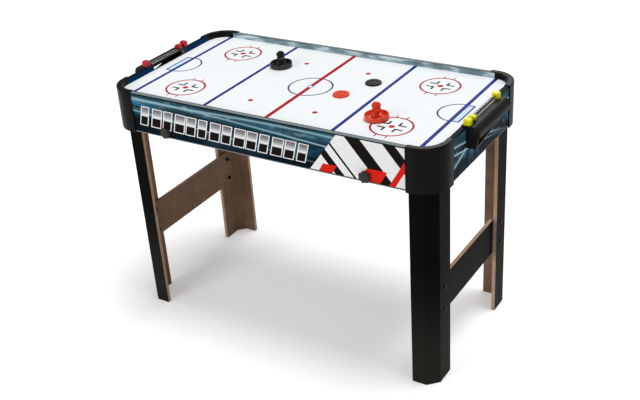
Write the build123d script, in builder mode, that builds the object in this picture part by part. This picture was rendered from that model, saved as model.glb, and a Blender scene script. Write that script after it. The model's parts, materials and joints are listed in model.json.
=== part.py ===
from build123d import *
from math import pi, tan
import os

# An air hockey table on four folded panel legs. X runs along the table, -Y is the lettered front, +Z is up
# and the origin is on the floor under the middle of the playing field. Lengths are in millimetres.

os.makedirs("parts", exist_ok=True)

# Playing field and the rail around it
field_length = 1128.0
field_width = 564.0
field_height = 792.0
field_thickness = 9.0
field_corner = 65.0
rail_height = 17.0
air_hole_radius = 0.8
air_hole_flats = 8
air_hole_pitch = 47.0
air_hole_margin = 30.0

# Apron boards, and the clearance between boards and mouldings
apron_thickness = 15.0
apron_depth = 133.0
fit = 0.3
goal_width = 164.0
goal_sill = 5.0

# Corner mouldings
skirt_wall = 4.0
skirt_drop = 4.0
cap_thickness = 3.0
puck_wall = 3.0
corner_lap = 16.0
pocket_wall = 3.0
shelf_width = 28.0
shelf_thickness = 4.0
boss_width = 18.0
boss_place = 15.0

# Air chamber under the field
batten_width = 30.0
batten_height = 18.0
base_thickness = 3.0
block_size = 40.0
block_columns = 4
block_rows = 2

# Legs, leg bolts and the braces between the legs of each end
leg_thickness = 12.0
leg_front_width = 48.0
leg_side_width = 70.0
leg_fold = 32.0
leg_top_gap = 5.0
leg_bolt_radius = 3.0
leg_bolt_levels = (24.0, 64.0)
leg_bolt_bite = 10.0
brace_height = 125.0
brace_thickness = 12.0
brace_level = 228.0
brace_bolt_radius = 3.0
brace_bolt_spacing = 77.0
bolt_head_radius = 7.5
bolt_head_height = 3.5
washer_radius = 8.0
washer_thickness = 1.2
nut_width = 10.0
nut_height = 5.0

# Goal boxes outside the end aprons
goal_box_width = 230.0
goal_box_depth = 42.0
goal_box_height = 67.0
goal_box_wall = 3.0
goal_box_round = 24.0
goal_hood_drop = 30.0
goal_lip_step = 5.0
goal_rake = 5.0
goal_floor_rise = 41.0
goal_boss_radius = 5.0
goal_screw_radius = 1.8
goal_screw_place = 100.0
goal_screw_bite = 12.0

# Scorers on the goal boxes
score_span = 202.0
score_line = 15.0
score_strip_line = 11.5
score_strip_width = 19.0
score_strip_thickness = 1.5
score_cap_length = 21.0
score_cap_width = 23.0
score_cap_height = 18.0
score_cap_corner = 5.0
score_cap_bevel = 3.0
score_rod_radius = 2.0
score_rod_height = 7.5
score_rod_socket = 12.0
score_marker_length = 17.0
score_marker_width = 21.0
score_marker_height = 14.0
score_marker_gap = 0.3
score_marker_corner = 5.0
score_marker_bevel = 1.5
score_marker_rest = 71.0
running = 0.05

# Star knobs on the front apron
knob_inset = 208.0
knob_level = 18.0
knob_radius = 19.0
knob_lobes = 7
knob_lobe_radius = 5.5
knob_height = 13.0
knob_gap = 1.0
knob_bevel = 2.0
stud_radius = 3.0
stud_grip = 6.0
insert_radius = 5.0

# Blower under the middle of the air chamber
fan_duct_radius = 55.0
fan_wall = 3.0
fan_depth = 46.0
fan_flange = 146.0
fan_flange_thickness = 4.0
fan_screw_place = 62.0
fan_screw_radius = 2.0
fan_blades = 7
fan_tip_gap = 2.0
fan_hub_radius = 21.0
fan_hub_height = 26.0
fan_hub_wall = 2.0
blade_chord = 30.0
blade_thickness = 2.2
blade_root_pitch = 42.0
blade_tip_pitch = 24.0
motor_radius = 17.0
motor_height = 22.0
motor_bore_gap = 0.03
shaft_radius = 1.6
arm_count = 3
arm_width = 8.0
arm_thickness = 4.0
guard_thickness = 2.5
guard_slats = 9
guard_pitch = 11.5
guard_slat_width = 2.4

# Switch and power inlet on the rear apron
switch_inset = 184.0
switch_level = 66.0
switch_width = 32.0
switch_height = 22.0
switch_lip = 3.0
switch_lip_thickness = 2.0
switch_body_depth = 24.0
rocker_width = 18.0
rocker_length = 13.0
rocker_gap = 0.8
rocker_sink = 1.0
rocker_proud = 2.5
rocker_dip = 1.0
rocker_foot = 4.0
rocker_well = 8.0
rocker_pin_radius = 1.2
rocker_pin_bite = 1.5
inlet_spacing = 46.0
inlet_radius = 6.0
inlet_flange = 9.0
inlet_bore = 2.9
inlet_pin = 1.05

# Strikers and pucks, riding just above the field
air_gap = 0.3
striker_radius = 37.0
striker_rim = 15.0
striker_wall = 3.5
striker_floor = 3.5
striker_neck = 8.5
striker_knob = 14.0
striker_height = 52.0
pad_thickness = 1.5
pad_radius = 33.0
puck_radius = 26.0
puck_thickness = 5.0
puck_bevel = 0.8
black_striker_at = (-181.0, 110.0)
red_striker_at = (307.0, -132.0)
red_puck_at = (123.0, -21.0)
black_puck_at = (171.0, 99.0)

# Planes and levels that follow from the sizes
half_x = field_length / 2
half_y = field_width / 2
apron_x = half_x + apron_thickness
apron_y = half_y + apron_thickness
corner_x = half_x - field_corner
corner_y = half_y - field_corner
rail_top = field_height + rail_height
apron_bottom = rail_top - apron_depth
field_under = field_height - field_thickness
chamber_under = field_under - batten_height
base_under = chamber_under - base_thickness
leg_top = base_under - leg_top_gap
leg_x = half_x - pocket_wall - 2 * fit
leg_y = half_y - pocket_wall - 2 * fit
skirt_radius = field_corner + apron_thickness
cap_top = rail_top + cap_thickness
knob_place = half_x - knob_inset
switch_place = switch_inset - half_x


def save(piece, label):
    """Labels a finished piece and writes it to its own file."""
    piece.part.label = label
    export_step(piece.part, f"parts/{label}.step")


def flipped(source, about_x, about_y):
    """The same piece on another corner or side of the table, mirrored across its middle planes."""
    with BuildPart() as copy:
        add(source.part)
        if about_x:
            mirror(about=Plane.YZ, mode=Mode.REPLACE)
        if about_y:
            mirror(about=Plane.XZ, mode=Mode.REPLACE)
    return copy


def turned(source):
    """The same piece at the other end of the table, turned half way round."""
    with BuildPart() as copy:
        with Locations(Rotation(0, 0, 180)):
            add(source.part)
    return copy


# Playfield board with its grid of air holes, each drawn with a few flats to stay light
holes_x = int((field_length - 2 * air_hole_margin) // air_hole_pitch) + 1
holes_y = int((field_width - 2 * air_hole_margin) // air_hole_pitch) + 1
with BuildPart() as playfield:
    with BuildSketch(Plane.XY.offset(field_under)):
        RectangleRounded(field_length - 2 * fit, field_width - 2 * fit, field_corner - fit)
        with GridLocations(air_hole_pitch, air_hole_pitch, holes_x, holes_y):
            RegularPolygon(air_hole_radius, air_hole_flats, mode=Mode.SUBTRACT)
    extrude(amount=field_thickness)
save(playfield, "playfield")


# Front apron, with a hole for each knob's threaded insert
knob_z = apron_bottom + knob_level
with BuildPart() as apron_front:
    with BuildSketch(Plane.XZ.offset(half_y)):
        with Locations((0, (apron_bottom + rail_top) / 2)):
            Rectangle(2 * (corner_x - fit), apron_depth)
        with Locations((-knob_place, knob_z), (knob_place, knob_z)):
            Circle(insert_radius, mode=Mode.SUBTRACT)
    extrude(amount=apron_thickness)
save(apron_front, "apron_front")

# Rear apron, with the cut-outs for the switch body and the power inlet
switch_z = apron_bottom + switch_level
inlet_x = switch_place + inlet_spacing
with BuildPart() as apron_rear:
    with BuildSketch(Plane.XZ.offset(-apron_y)):
        with Locations((0, (apron_bottom + rail_top) / 2)):
            Rectangle(2 * (corner_x - fit), apron_depth)
        with Locations((switch_place, switch_z)):
            Rectangle(switch_width + 2 * fit, switch_height + 2 * fit, mode=Mode.SUBTRACT)
        with Locations((inlet_x, switch_z)):
            Circle(inlet_radius + fit, mode=Mode.SUBTRACT)
    extrude(amount=apron_thickness)
save(apron_rear, "apron_rear")

# End aprons, notched for the goals and drilled for the goal box screws
goal_screw_z = base_under - leg_top_gap - goal_boss_radius
with BuildPart() as apron_right:
    with BuildSketch(Plane.YZ.offset(half_x)):
        with Locations((0, (apron_bottom + rail_top) / 2)):
            Rectangle(2 * (corner_y - fit), apron_depth)
        with Locations((0, rail_top)):
            Rectangle(goal_width, 2 * (rail_height + goal_sill), mode=Mode.SUBTRACT)
        with Locations((-goal_screw_place, goal_screw_z), (goal_screw_place, goal_screw_z)):
            Circle(goal_screw_radius + fit, mode=Mode.SUBTRACT)
    extrude(amount=apron_thickness)
save(apron_right, "apron_right")
apron_left = turned(apron_right)
save(apron_left, "apron_left")


# Corner moulding: a quarter turn of skirt, cap, puck wall and field shelf, with straight laps over both
# apron ends, a pocket for each board end and two bosses that the leg is bolted to
skirt_bottom = apron_bottom - skirt_drop
corner_centre = (corner_x, -corner_y, 0)
front_section = Plane(origin=corner_centre, x_dir=(0, -1, 0), z_dir=(-1, 0, 0))
side_section = Plane(origin=corner_centre, x_dir=(1, 0, 0), z_dir=(0, -1, 0))
corner_plan = Plane(origin=corner_centre, x_dir=(1, 0, 0), z_dir=(0, 0, 1))
pocket_outside = field_corner - fit
pocket_inside = pocket_outside - pocket_wall
cap_edge = cap_thickness - 0.5


def lap_profile():
    """The skirt and cap where they lap over the outer face and top edge of an apron."""
    with Locations((skirt_radius, skirt_bottom)):
        Rectangle(skirt_wall, cap_top - skirt_bottom, align=(Align.MIN, Align.MIN))
    with Locations((field_corner, rail_top)):
        Rectangle(skirt_radius + skirt_wall - field_corner, cap_thickness, align=(Align.MIN, Align.MIN))


def soften_cap(sketch):
    """Rounds the outer and inner top edges of the cap."""
    top = sketch.vertices().group_by(Axis.Y)[-1].sort_by(Axis.X)
    fillet(top[-1], cap_edge)
    top = sketch.vertices().group_by(Axis.Y)[-1].sort_by(Axis.X)
    fillet(top[0], cap_edge / 2)


with BuildPart() as corner_front_right:
    with BuildSketch(front_section) as ring:
        lap_profile()
        with Locations((field_corner, chamber_under)):
            Rectangle(puck_wall, cap_top - chamber_under, align=(Align.MIN, Align.MIN))
        soften_cap(ring)
        with Locations((field_corner, field_under)):
            Rectangle(shelf_width, shelf_thickness, align=(Align.MAX, Align.MAX))
    revolve(axis=Axis(corner_centre, (0, 0, 1)), revolution_arc=90)
    with BuildSketch(front_section) as front_lap:
        lap_profile()
        soften_cap(front_lap)
    extrude(amount=corner_lap)
    with BuildSketch(side_section) as side_lap:
        lap_profile()
        soften_cap(side_lap)
    extrude(amount=-corner_lap)
    with BuildSketch(corner_plan.offset(skirt_bottom)):
        with BuildLine():
            Polyline(
                (-corner_lap, -pocket_inside),
                (pocket_wall, -pocket_inside),
                (pocket_wall, -skirt_radius - skirt_wall / 2),
                (0, -skirt_radius - skirt_wall / 2),
                (0, -pocket_outside),
                (-corner_lap, -pocket_outside),
                close=True,
            )
        make_face()
        mirror(about=Plane(origin=(0, 0, 0), z_dir=(1, 1, 0)))
    extrude(amount=leg_top - skirt_bottom)
    with BuildSketch(corner_plan.offset(skirt_bottom)):
        with Locations((boss_place, -pocket_inside)):
            Rectangle(boss_width, boss_width, align=(Align.CENTER, Align.MAX))
        with Locations((pocket_inside, -boss_place)):
            Rectangle(boss_width, boss_width, align=(Align.MIN, Align.CENTER))
        Circle(skirt_radius + skirt_wall / 2, mode=Mode.INTERSECT)
    extrude(amount=leg_top - skirt_bottom)
    for level in leg_bolt_levels:
        with Locations(front_section.location * Location((pocket_inside, apron_bottom + level, -boss_place))):
            with Locations(Rotation(0, 90, 0)):
                Cylinder(leg_bolt_radius, 2 * leg_bolt_bite, mode=Mode.SUBTRACT)
        with Locations(side_section.location * Location((pocket_inside, apron_bottom + level, boss_place))):
            with Locations(Rotation(0, 90, 0)):
                Cylinder(leg_bolt_radius, 2 * leg_bolt_bite, mode=Mode.SUBTRACT)
save(corner_front_right, "corner_front_right")
corner_front_left = flipped(corner_front_right, True, False)
save(corner_front_left, "corner_front_left")
corner_rear_right = flipped(corner_front_right, False, True)
save(corner_rear_right, "corner_rear_right")
corner_rear_left = flipped(corner_front_right, True, True)
save(corner_rear_left, "corner_rear_left")


# Legs: one folded plate each, a front face, a chamfer face and a side face, drilled for its bolts
fold_x = leg_x - leg_fold
fold_y = leg_y - leg_fold
leg_end_x = fold_x - leg_front_width
leg_end_y = fold_y - leg_side_width
front_bolt_x = corner_x + boss_place
side_bolt_y = corner_y + boss_place
brace_end_y = fold_y - leg_thickness * tan(pi / 8) - fit
brace_bolt_y = fold_y - leg_side_width / 2
brace_bolt_z = (
    brace_level + (brace_height - brace_bolt_spacing) / 2,
    brace_level + (brace_height + brace_bolt_spacing) / 2,
)
with BuildPart() as leg_front_right:
    with BuildSketch():
        with BuildLine():
            Polyline((leg_end_x, -leg_y), (fold_x, -leg_y), (leg_x, -fold_y), (leg_x, -leg_end_y))
            offset(amount=leg_thickness, side=Side.LEFT)
        make_face()
    extrude(amount=leg_top)
    with BuildSketch(Plane.XZ.offset(leg_y)):
        with Locations(*[(front_bolt_x, apron_bottom + level) for level in leg_bolt_levels]):
            Circle(leg_bolt_radius + fit)
    extrude(amount=-leg_thickness, mode=Mode.SUBTRACT)
    with BuildSketch(Plane.YZ.offset(leg_x)):
        with Locations(*[(-side_bolt_y, apron_bottom + level) for level in leg_bolt_levels]):
            Circle(leg_bolt_radius + fit)
        with Locations(*[(-brace_bolt_y, level) for level in brace_bolt_z]):
            Circle(brace_bolt_radius + fit)
    extrude(amount=-leg_thickness, mode=Mode.SUBTRACT)
save(leg_front_right, "leg_front_right")
leg_front_left = flipped(leg_front_right, True, False)
save(leg_front_left, "leg_front_left")
leg_rear_right = flipped(leg_front_right, False, True)
save(leg_rear_right, "leg_rear_right")
leg_rear_left = flipped(leg_front_right, True, True)
save(leg_rear_left, "leg_rear_left")


# Braces between the legs of each end, bolted to the inner faces of the side panels
brace_x = leg_x - leg_thickness
with BuildPart() as brace_right:
    with BuildSketch(Plane.YZ.offset(brace_x - brace_thickness)):
        with Locations((0, brace_level + brace_height / 2)):
            Rectangle(2 * brace_end_y, brace_height)
        for side in (-1, 1):
            with Locations(*[(side * brace_bolt_y, level) for level in brace_bolt_z]):
                Circle(brace_bolt_radius + fit, mode=Mode.SUBTRACT)
    extrude(amount=brace_thickness)
save(brace_right, "brace_right")
brace_left = turned(brace_right)
save(brace_left, "brace_left")


# Fasteners, each drawn once with its head above the origin, then set in its places
def headed_pin(radius, length, head_radius, head_height, crown):
    """A round-headed pin, its shank running down from the origin and its head domed by the crown."""
    with BuildPart() as pin:
        with BuildSketch(Plane.XZ):
            with BuildLine():
                edge = (head_radius, head_height - crown)
                Polyline((0, head_height), (0, -length), (radius, -length), (radius, 0), (head_radius, 0), edge)
                TangentArc((0, head_height), edge, tangent=(1, 0))
            make_face()
        revolve(axis=Axis.Z)
    return pin


def hex_bolt(radius, length, across, height):
    """A hexagon-headed bolt, its shank running down from the origin."""
    with BuildPart() as bolt:
        with BuildSketch():
            RegularPolygon(across / 2, 6, major_radius=False)
        extrude(amount=height)
        with BuildSketch():
            Circle(radius)
        extrude(amount=-length)
    return bolt


to_right = (0, 90, 0)
to_left = (0, -90, 0)
to_front = (90, 0, 0)
to_rear = (-90, 0, 0)
leg_bolt = hex_bolt(leg_bolt_radius - running, leg_thickness + leg_bolt_bite - 2 * fit, nut_width, nut_height)
with BuildPart() as leg_bolts:
    for side_x in (-1, 1):
        for side_y in (-1, 1):
            for level in leg_bolt_levels:
                bolt_z = apron_bottom + level
                into_front = (side_x * front_bolt_x, side_y * (leg_y - leg_thickness), bolt_z)
                with Locations(Location(into_front, to_front if side_y > 0 else to_rear)):
                    add(leg_bolt.part)
                into_side = (side_x * (leg_x - leg_thickness), side_y * side_bolt_y, bolt_z)
                with Locations(Location(into_side, to_left if side_x > 0 else to_right)):
                    add(leg_bolt.part)
save(leg_bolts, "leg_bolts")

clamped = leg_thickness + brace_thickness
brace_bolt = headed_pin(
    brace_bolt_radius, clamped + washer_thickness + nut_height + 2.0, bolt_head_radius, bolt_head_height, 2.5
)
with BuildPart() as washer:
    with BuildSketch():
        Circle(washer_radius)
        Circle(brace_bolt_radius + fit, mode=Mode.SUBTRACT)
    extrude(amount=washer_thickness)
with BuildPart() as nut:
    with BuildSketch():
        RegularPolygon(nut_width / 2, 6, major_radius=False)
        Circle(brace_bolt_radius + running, mode=Mode.SUBTRACT)
    extrude(amount=nut_height)


def at_braces(piece, depth):
    """Sets a fastener at every brace bolt, at a depth inwards from the outer faces of the legs."""
    with BuildPart() as group:
        for side_x in (-1, 1):
            for side_y in (-1, 1):
                for level in brace_bolt_z:
                    place = (side_x * (leg_x - depth), side_y * brace_bolt_y, level)
                    with Locations(Location(place, to_right if side_x > 0 else to_left)):
                        add(piece.part)
    return group


brace_bolts = at_braces(brace_bolt, 0)
save(brace_bolts, "brace_bolts")
brace_washers = at_braces(washer, clamped + washer_thickness)
save(brace_washers, "brace_washers")
brace_nuts = at_braces(nut, clamped + washer_thickness + nut_height)
save(brace_nuts, "brace_nuts")


# Air chamber: battens under the field's edge, spacer blocks and the base board with its air inlet
with BuildPart() as chamber_battens:
    with BuildSketch(Plane.XY.offset(chamber_under)):
        for side in (-1, 1):
            with Locations((0, side * (half_y - batten_width / 2))):
                Rectangle(2 * (corner_x - fit), batten_width)
            with Locations((side * (half_x - batten_width / 2), 0)):
                Rectangle(batten_width, 2 * (corner_y - fit))
    extrude(amount=batten_height)
save(chamber_battens, "chamber_battens")

with BuildPart() as chamber_blocks:
    with BuildSketch(Plane.XY.offset(chamber_under)):
        with GridLocations(field_length / (block_columns + 1), field_width / (block_rows + 1), block_columns, block_rows):
            Rectangle(block_size, block_size)
    extrude(amount=batten_height)
save(chamber_blocks, "chamber_blocks")

fan_screw_pitch = 2 * fan_screw_place
with BuildPart() as chamber_base:
    with BuildSketch(Plane.XY.offset(base_under)):
        RectangleRounded(field_length - 2 * fit, field_width - 2 * fit, field_corner - fit)
        Circle(fan_duct_radius, mode=Mode.SUBTRACT)
        with GridLocations(fan_screw_pitch, fan_screw_pitch, 2, 2):
            Circle(fan_screw_radius, mode=Mode.SUBTRACT)
    extrude(amount=base_thickness)
save(chamber_base, "chamber_base")


# Blower: flanged duct with three arms, motor, shaft, bladed rotor, slatted guard and screws
fan_bottom = base_under - fan_depth
with BuildPart() as fan_housing:
    with BuildSketch(Plane.XY.offset(base_under - fan_flange_thickness)):
        RectangleRounded(fan_flange, fan_flange, 10)
        Circle(fan_duct_radius, mode=Mode.SUBTRACT)
        with GridLocations(fan_screw_pitch, fan_screw_pitch, 2, 2):
            Circle(fan_screw_radius, mode=Mode.SUBTRACT)
    extrude(amount=fan_flange_thickness)
    with BuildSketch(Plane.XY.offset(fan_bottom)):
        Circle(fan_duct_radius + fan_wall)
        Circle(fan_duct_radius, mode=Mode.SUBTRACT)
    extrude(amount=fan_depth)
    with BuildSketch(Plane.XY.offset(fan_bottom)):
        Circle(motor_radius + 1.0)
        with PolarLocations(fan_duct_radius / 2, arm_count):
            Rectangle(fan_duct_radius + fan_wall, arm_width)
    extrude(amount=arm_thickness)
save(fan_housing, "fan_housing")

motor_bottom = fan_bottom + arm_thickness
with BuildPart() as fan_motor:
    with BuildSketch(Plane.XY.offset(motor_bottom)):
        Circle(motor_radius)
    extrude(amount=motor_height)
    with BuildSketch(Plane.XY.offset(motor_bottom + motor_height)):
        Circle(shaft_radius + motor_bore_gap)
    extrude(amount=-(motor_height - 2.0), mode=Mode.SUBTRACT)
save(fan_motor, "fan_motor")

hub_bottom = motor_bottom + 2.0
hub_top = hub_bottom + fan_hub_height
shaft_bottom = motor_bottom + 3.0
with BuildPart() as fan_shaft:
    with BuildSketch(Plane.XY.offset(shaft_bottom)):
        Circle(shaft_radius)
    extrude(amount=hub_top - shaft_bottom)
save(fan_shaft, "fan_shaft")
blade_middle = hub_bottom + fan_hub_height / 2
blade_tip = fan_duct_radius - fan_tip_gap
blade_sections = ((fan_hub_radius - fan_hub_wall / 2, blade_root_pitch), (blade_tip, blade_tip_pitch))
with BuildPart() as fan_blade:
    for radius, pitch in blade_sections:
        with BuildSketch(Plane(origin=(radius, 0, blade_middle), x_dir=(0, 1, 0), z_dir=(1, 0, 0))):
            Rectangle(blade_chord, blade_thickness, rotation=pitch)
    loft()
with BuildPart() as fan_rotor:
    with BuildSketch(Plane.XY.offset(hub_bottom)):
        Circle(fan_hub_radius)
    extrude(amount=fan_hub_height)
    with PolarLocations(0, fan_blades, start_angle=180 / fan_blades):
        add(fan_blade.part)
    with BuildSketch(Plane.XY.offset(hub_bottom)):
        Circle(fan_hub_radius - fan_hub_wall)
    extrude(amount=fan_hub_height - fan_hub_wall, mode=Mode.SUBTRACT)
    with BuildSketch(Plane.XY.offset(hub_bottom)):
        Circle(shaft_radius)
    extrude(amount=fan_hub_height, mode=Mode.SUBTRACT)
save(fan_rotor, "fan_rotor")

with BuildPart() as fan_guard:
    with BuildSketch(Plane.XY.offset(fan_bottom - guard_thickness)):
        Circle(fan_duct_radius + fan_wall)
        Circle(fan_duct_radius, mode=Mode.SUBTRACT)
        with GridLocations(guard_pitch, 0, guard_slats, 1):
            Rectangle(guard_slat_width, 2 * fan_duct_radius + fan_wall)
        Rectangle(2 * fan_duct_radius + fan_wall, guard_slat_width)
        Circle(fan_duct_radius + fan_wall, mode=Mode.INTERSECT)
    extrude(amount=guard_thickness)
save(fan_guard, "fan_guard")

fan_screw = headed_pin(fan_screw_radius - running, fan_flange_thickness + base_thickness, 3.6, 2.2, 1.4)
with BuildPart() as fan_screws:
    with Locations((0, 0, base_under - fan_flange_thickness)):
        with GridLocations(fan_screw_pitch, fan_screw_pitch, 2, 2):
            with Locations(Rotation(180, 0, 0)):
                add(fan_screw.part)
save(fan_screws, "fan_screws")


# Goal boxes: a shell hooked over the end rail, open to the table. Its hood ends in a lip, its floor slopes to the
# front corner, and under the lip a raked front has the wedge-shaped puck return
box_top = cap_top
box_bottom = box_top - goal_box_height
box_face = apron_x + goal_box_depth
lip_z = box_top - goal_hood_drop
front_x = box_face - goal_lip_step
foot_x = front_x - goal_rake
end_y = goal_box_width / 2
floor_slope = goal_floor_rise / goal_box_width
sill_z = box_bottom + 2 * goal_box_wall
return_top = lip_z - 2 * goal_box_wall
with BuildPart() as goal_hollow:
    with BuildSketch(Plane.XZ.offset(-goal_box_width / 2 + goal_box_wall)) as hollow:
        with BuildLine():
            Polyline(
                (apron_x, box_bottom + goal_box_wall),
                (foot_x - goal_box_wall, box_bottom + goal_box_wall),
                (front_x - goal_box_wall, lip_z - goal_box_wall),
                (box_face - goal_box_wall, lip_z + goal_box_wall),
                (box_face - goal_box_wall, rail_top),
                (apron_x, rail_top),
                close=True,
            )
        make_face()
        inner = hollow.vertices().group_by(Axis.X)[-1].sort_by(Axis.Y)
        fillet(inner[-1], goal_box_round - goal_box_wall)
    extrude(amount=goal_box_width - 2 * goal_box_wall)
    with BuildSketch(Plane.YZ.offset(apron_x)):
        with BuildLine():
            Polyline(
                (-end_y, box_bottom),
                (end_y, box_bottom),
                (end_y, box_bottom + goal_box_wall + goal_floor_rise),
                (-end_y, box_bottom + goal_box_wall),
                close=True,
            )
        make_face()
    extrude(amount=goal_box_depth, mode=Mode.SUBTRACT)
with BuildPart() as goal_box_right:
    with BuildSketch(Plane.XZ.offset(-goal_box_width / 2)) as shell:
        with BuildLine():
            Polyline(
                (half_x, rail_top),
                (apron_x, rail_top),
                (apron_x, box_bottom),
                (foot_x, box_bottom),
                (front_x, lip_z - goal_box_wall),
                (box_face, lip_z),
                (box_face, box_top),
                (half_x, box_top),
                close=True,
            )
        make_face()
        outer = shell.vertices().group_by(Axis.X)[-1].sort_by(Axis.Y)
        fillet(outer[-1], goal_box_round)
    extrude(amount=goal_box_width)
    with BuildSketch(Plane.YZ.offset(apron_x)):
        with BuildLine():
            Polyline(
                (-end_y, box_bottom),
                (end_y, box_bottom),
                (end_y, box_bottom + goal_floor_rise),
                close=True,
            )
        make_face()
    extrude(amount=goal_box_depth, mode=Mode.SUBTRACT)
    add(goal_hollow.part, mode=Mode.SUBTRACT)
    with BuildSketch(Plane.YZ.offset(box_face)):
        with BuildLine():
            Polyline(
                (-end_y + 2 * goal_box_wall, sill_z + 2 * goal_box_wall * floor_slope),
                (-end_y + (return_top - sill_z) / floor_slope, return_top),
                (-end_y + 2 * goal_box_wall, return_top),
                close=True,
            )
        make_face()
    extrude(amount=-goal_lip_step - goal_rake - 2 * goal_box_wall, mode=Mode.SUBTRACT)
    with BuildSketch(Plane.YZ.offset(apron_x)):
        with Locations((goal_screw_place, goal_screw_z + goal_floor_rise / 2)):
            Rectangle(goal_box_wall, goal_floor_rise)
    extrude(amount=goal_screw_bite + goal_box_wall)
    with BuildSketch(Plane.YZ.offset(apron_x)):
        with Locations((-goal_screw_place, goal_screw_z), (goal_screw_place, goal_screw_z)):
            Circle(goal_boss_radius)
    extrude(amount=goal_screw_bite + goal_box_wall)
    with BuildSketch(Plane.YZ.offset(apron_x)):
        with Locations((-goal_screw_place, goal_screw_z), (goal_screw_place, goal_screw_z)):
            Circle(goal_screw_radius)
    extrude(amount=goal_screw_bite, mode=Mode.SUBTRACT)
save(goal_box_right, "goal_box_right")
with BuildPart() as goal_box_left:
    add(goal_box_right.part.mirror(Plane.YZ))
save(goal_box_left, "goal_box_left")

goal_screw = headed_pin(goal_screw_radius - running, apron_thickness + goal_screw_bite - 1.0, 3.6, 2.2, 1.4)
with BuildPart() as goal_screws:
    for side_x in (-1, 1):
        for side_y in (-1, 1):
            place = (side_x * half_x, side_y * goal_screw_place, goal_screw_z)
            with Locations(Location(place, to_left if side_x > 0 else to_right)):
                add(goal_screw.part)
save(goal_screws, "goal_screws")


# Scorers: a ticked strip and two end posts on each goal box, with a marker sliding on the rod between them
score_x = half_x + score_line
post_y = score_span / 2
post_inside = post_y - score_cap_length / 2
rod_z = box_top + score_rod_height
marker_z = box_top + score_strip_thickness + score_marker_gap + score_marker_height / 2
with BuildPart() as score_strip_right:
    with BuildSketch(Plane.XY.offset(box_top)):
        with Locations((half_x + score_strip_line, 0)):
            Rectangle(score_strip_width, 2 * (post_inside - fit))
    extrude(amount=score_strip_thickness)
save(score_strip_right, "score_strip_right")
score_strip_left = turned(score_strip_right)
save(score_strip_left, "score_strip_left")

with BuildPart() as score_posts_right:
    with BuildSketch(Plane.XY.offset(box_top)):
        with Locations((score_x, -post_y), (score_x, post_y)):
            RectangleRounded(score_cap_width, score_cap_length, score_cap_corner)
    extrude(amount=score_cap_height)
    chamfer(score_posts_right.edges().group_by(Axis.Z)[-1], score_cap_bevel)
    for side in (-1, 1):
        with BuildSketch(Plane(origin=(score_x, side * post_inside, rod_z), x_dir=(1, 0, 0), z_dir=(0, side, 0))):
            Circle(score_rod_radius)
        extrude(amount=score_rod_socket, mode=Mode.SUBTRACT)
save(score_posts_right, "score_posts_right")
score_posts_left = turned(score_posts_right)
save(score_posts_left, "score_posts_left")

with BuildPart() as score_rod_right:
    with BuildSketch(Plane(origin=(score_x, 0, rod_z), x_dir=(1, 0, 0), z_dir=(0, 1, 0))):
        Circle(score_rod_radius)
    extrude(amount=post_inside + score_rod_socket, both=True)
save(score_rod_right, "score_rod_right")
score_rod_left = turned(score_rod_right)
save(score_rod_left, "score_rod_left")

with BuildPart() as score_marker_right:
    with BuildSketch(Plane(origin=(score_x, -score_marker_rest, rod_z), x_dir=(1, 0, 0), z_dir=(0, 1, 0))):
        with Locations((0, rod_z - marker_z)):
            RectangleRounded(score_marker_width, score_marker_height, score_marker_corner)
        Circle(score_rod_radius + running, mode=Mode.SUBTRACT)
    extrude(amount=score_marker_length / 2, both=True)
    ends = score_marker_right.faces().sort_by(Axis.Y)
    chamfer([ends[0].outer_wire().edges(), ends[-1].outer_wire().edges()], score_marker_bevel)
save(score_marker_right, "score_marker_right")
score_marker_left = turned(score_marker_right)
save(score_marker_left, "score_marker_left")


# Star knobs on the front apron, each on its own stud in a threaded insert
knob_face = -(apron_y + knob_gap)
with BuildPart() as knob_right:
    with BuildSketch(Plane.XZ.offset(-knob_face)):
        with Locations((knob_place, knob_z)):
            Circle(knob_radius - knob_lobe_radius + 1.0)
            with PolarLocations(knob_radius - knob_lobe_radius, knob_lobes):
                Circle(knob_lobe_radius)
    extrude(amount=knob_height)
    chamfer(knob_right.faces().sort_by(Axis.Y)[0].outer_wire().edges(), knob_bevel)
    with BuildSketch(Plane.XZ.offset(-knob_face)):
        with Locations((knob_place, knob_z)):
            Circle(stud_radius)
    extrude(amount=stud_grip, mode=Mode.SUBTRACT)
save(knob_right, "knob_right")
knob_left = flipped(knob_right, True, False)
save(knob_left, "knob_left")

with BuildPart() as knob_stud_right:
    with BuildSketch(Plane.XZ.offset(half_y + 1.0)):
        with Locations((knob_place, knob_z)):
            Circle(stud_radius)
    extrude(amount=apron_thickness - 1.0 + knob_gap + stud_grip)
save(knob_stud_right, "knob_stud_right")
knob_stud_left = flipped(knob_stud_right, True, False)
save(knob_stud_left, "knob_stud_left")

with BuildPart() as knob_inserts:
    with BuildSketch(Plane.XZ.offset(half_y)):
        with Locations((-knob_place, knob_z), (knob_place, knob_z)):
            Circle(insert_radius)
            Circle(stud_radius + running, mode=Mode.SUBTRACT)
    extrude(amount=apron_thickness)
save(knob_inserts, "knob_inserts")


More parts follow.
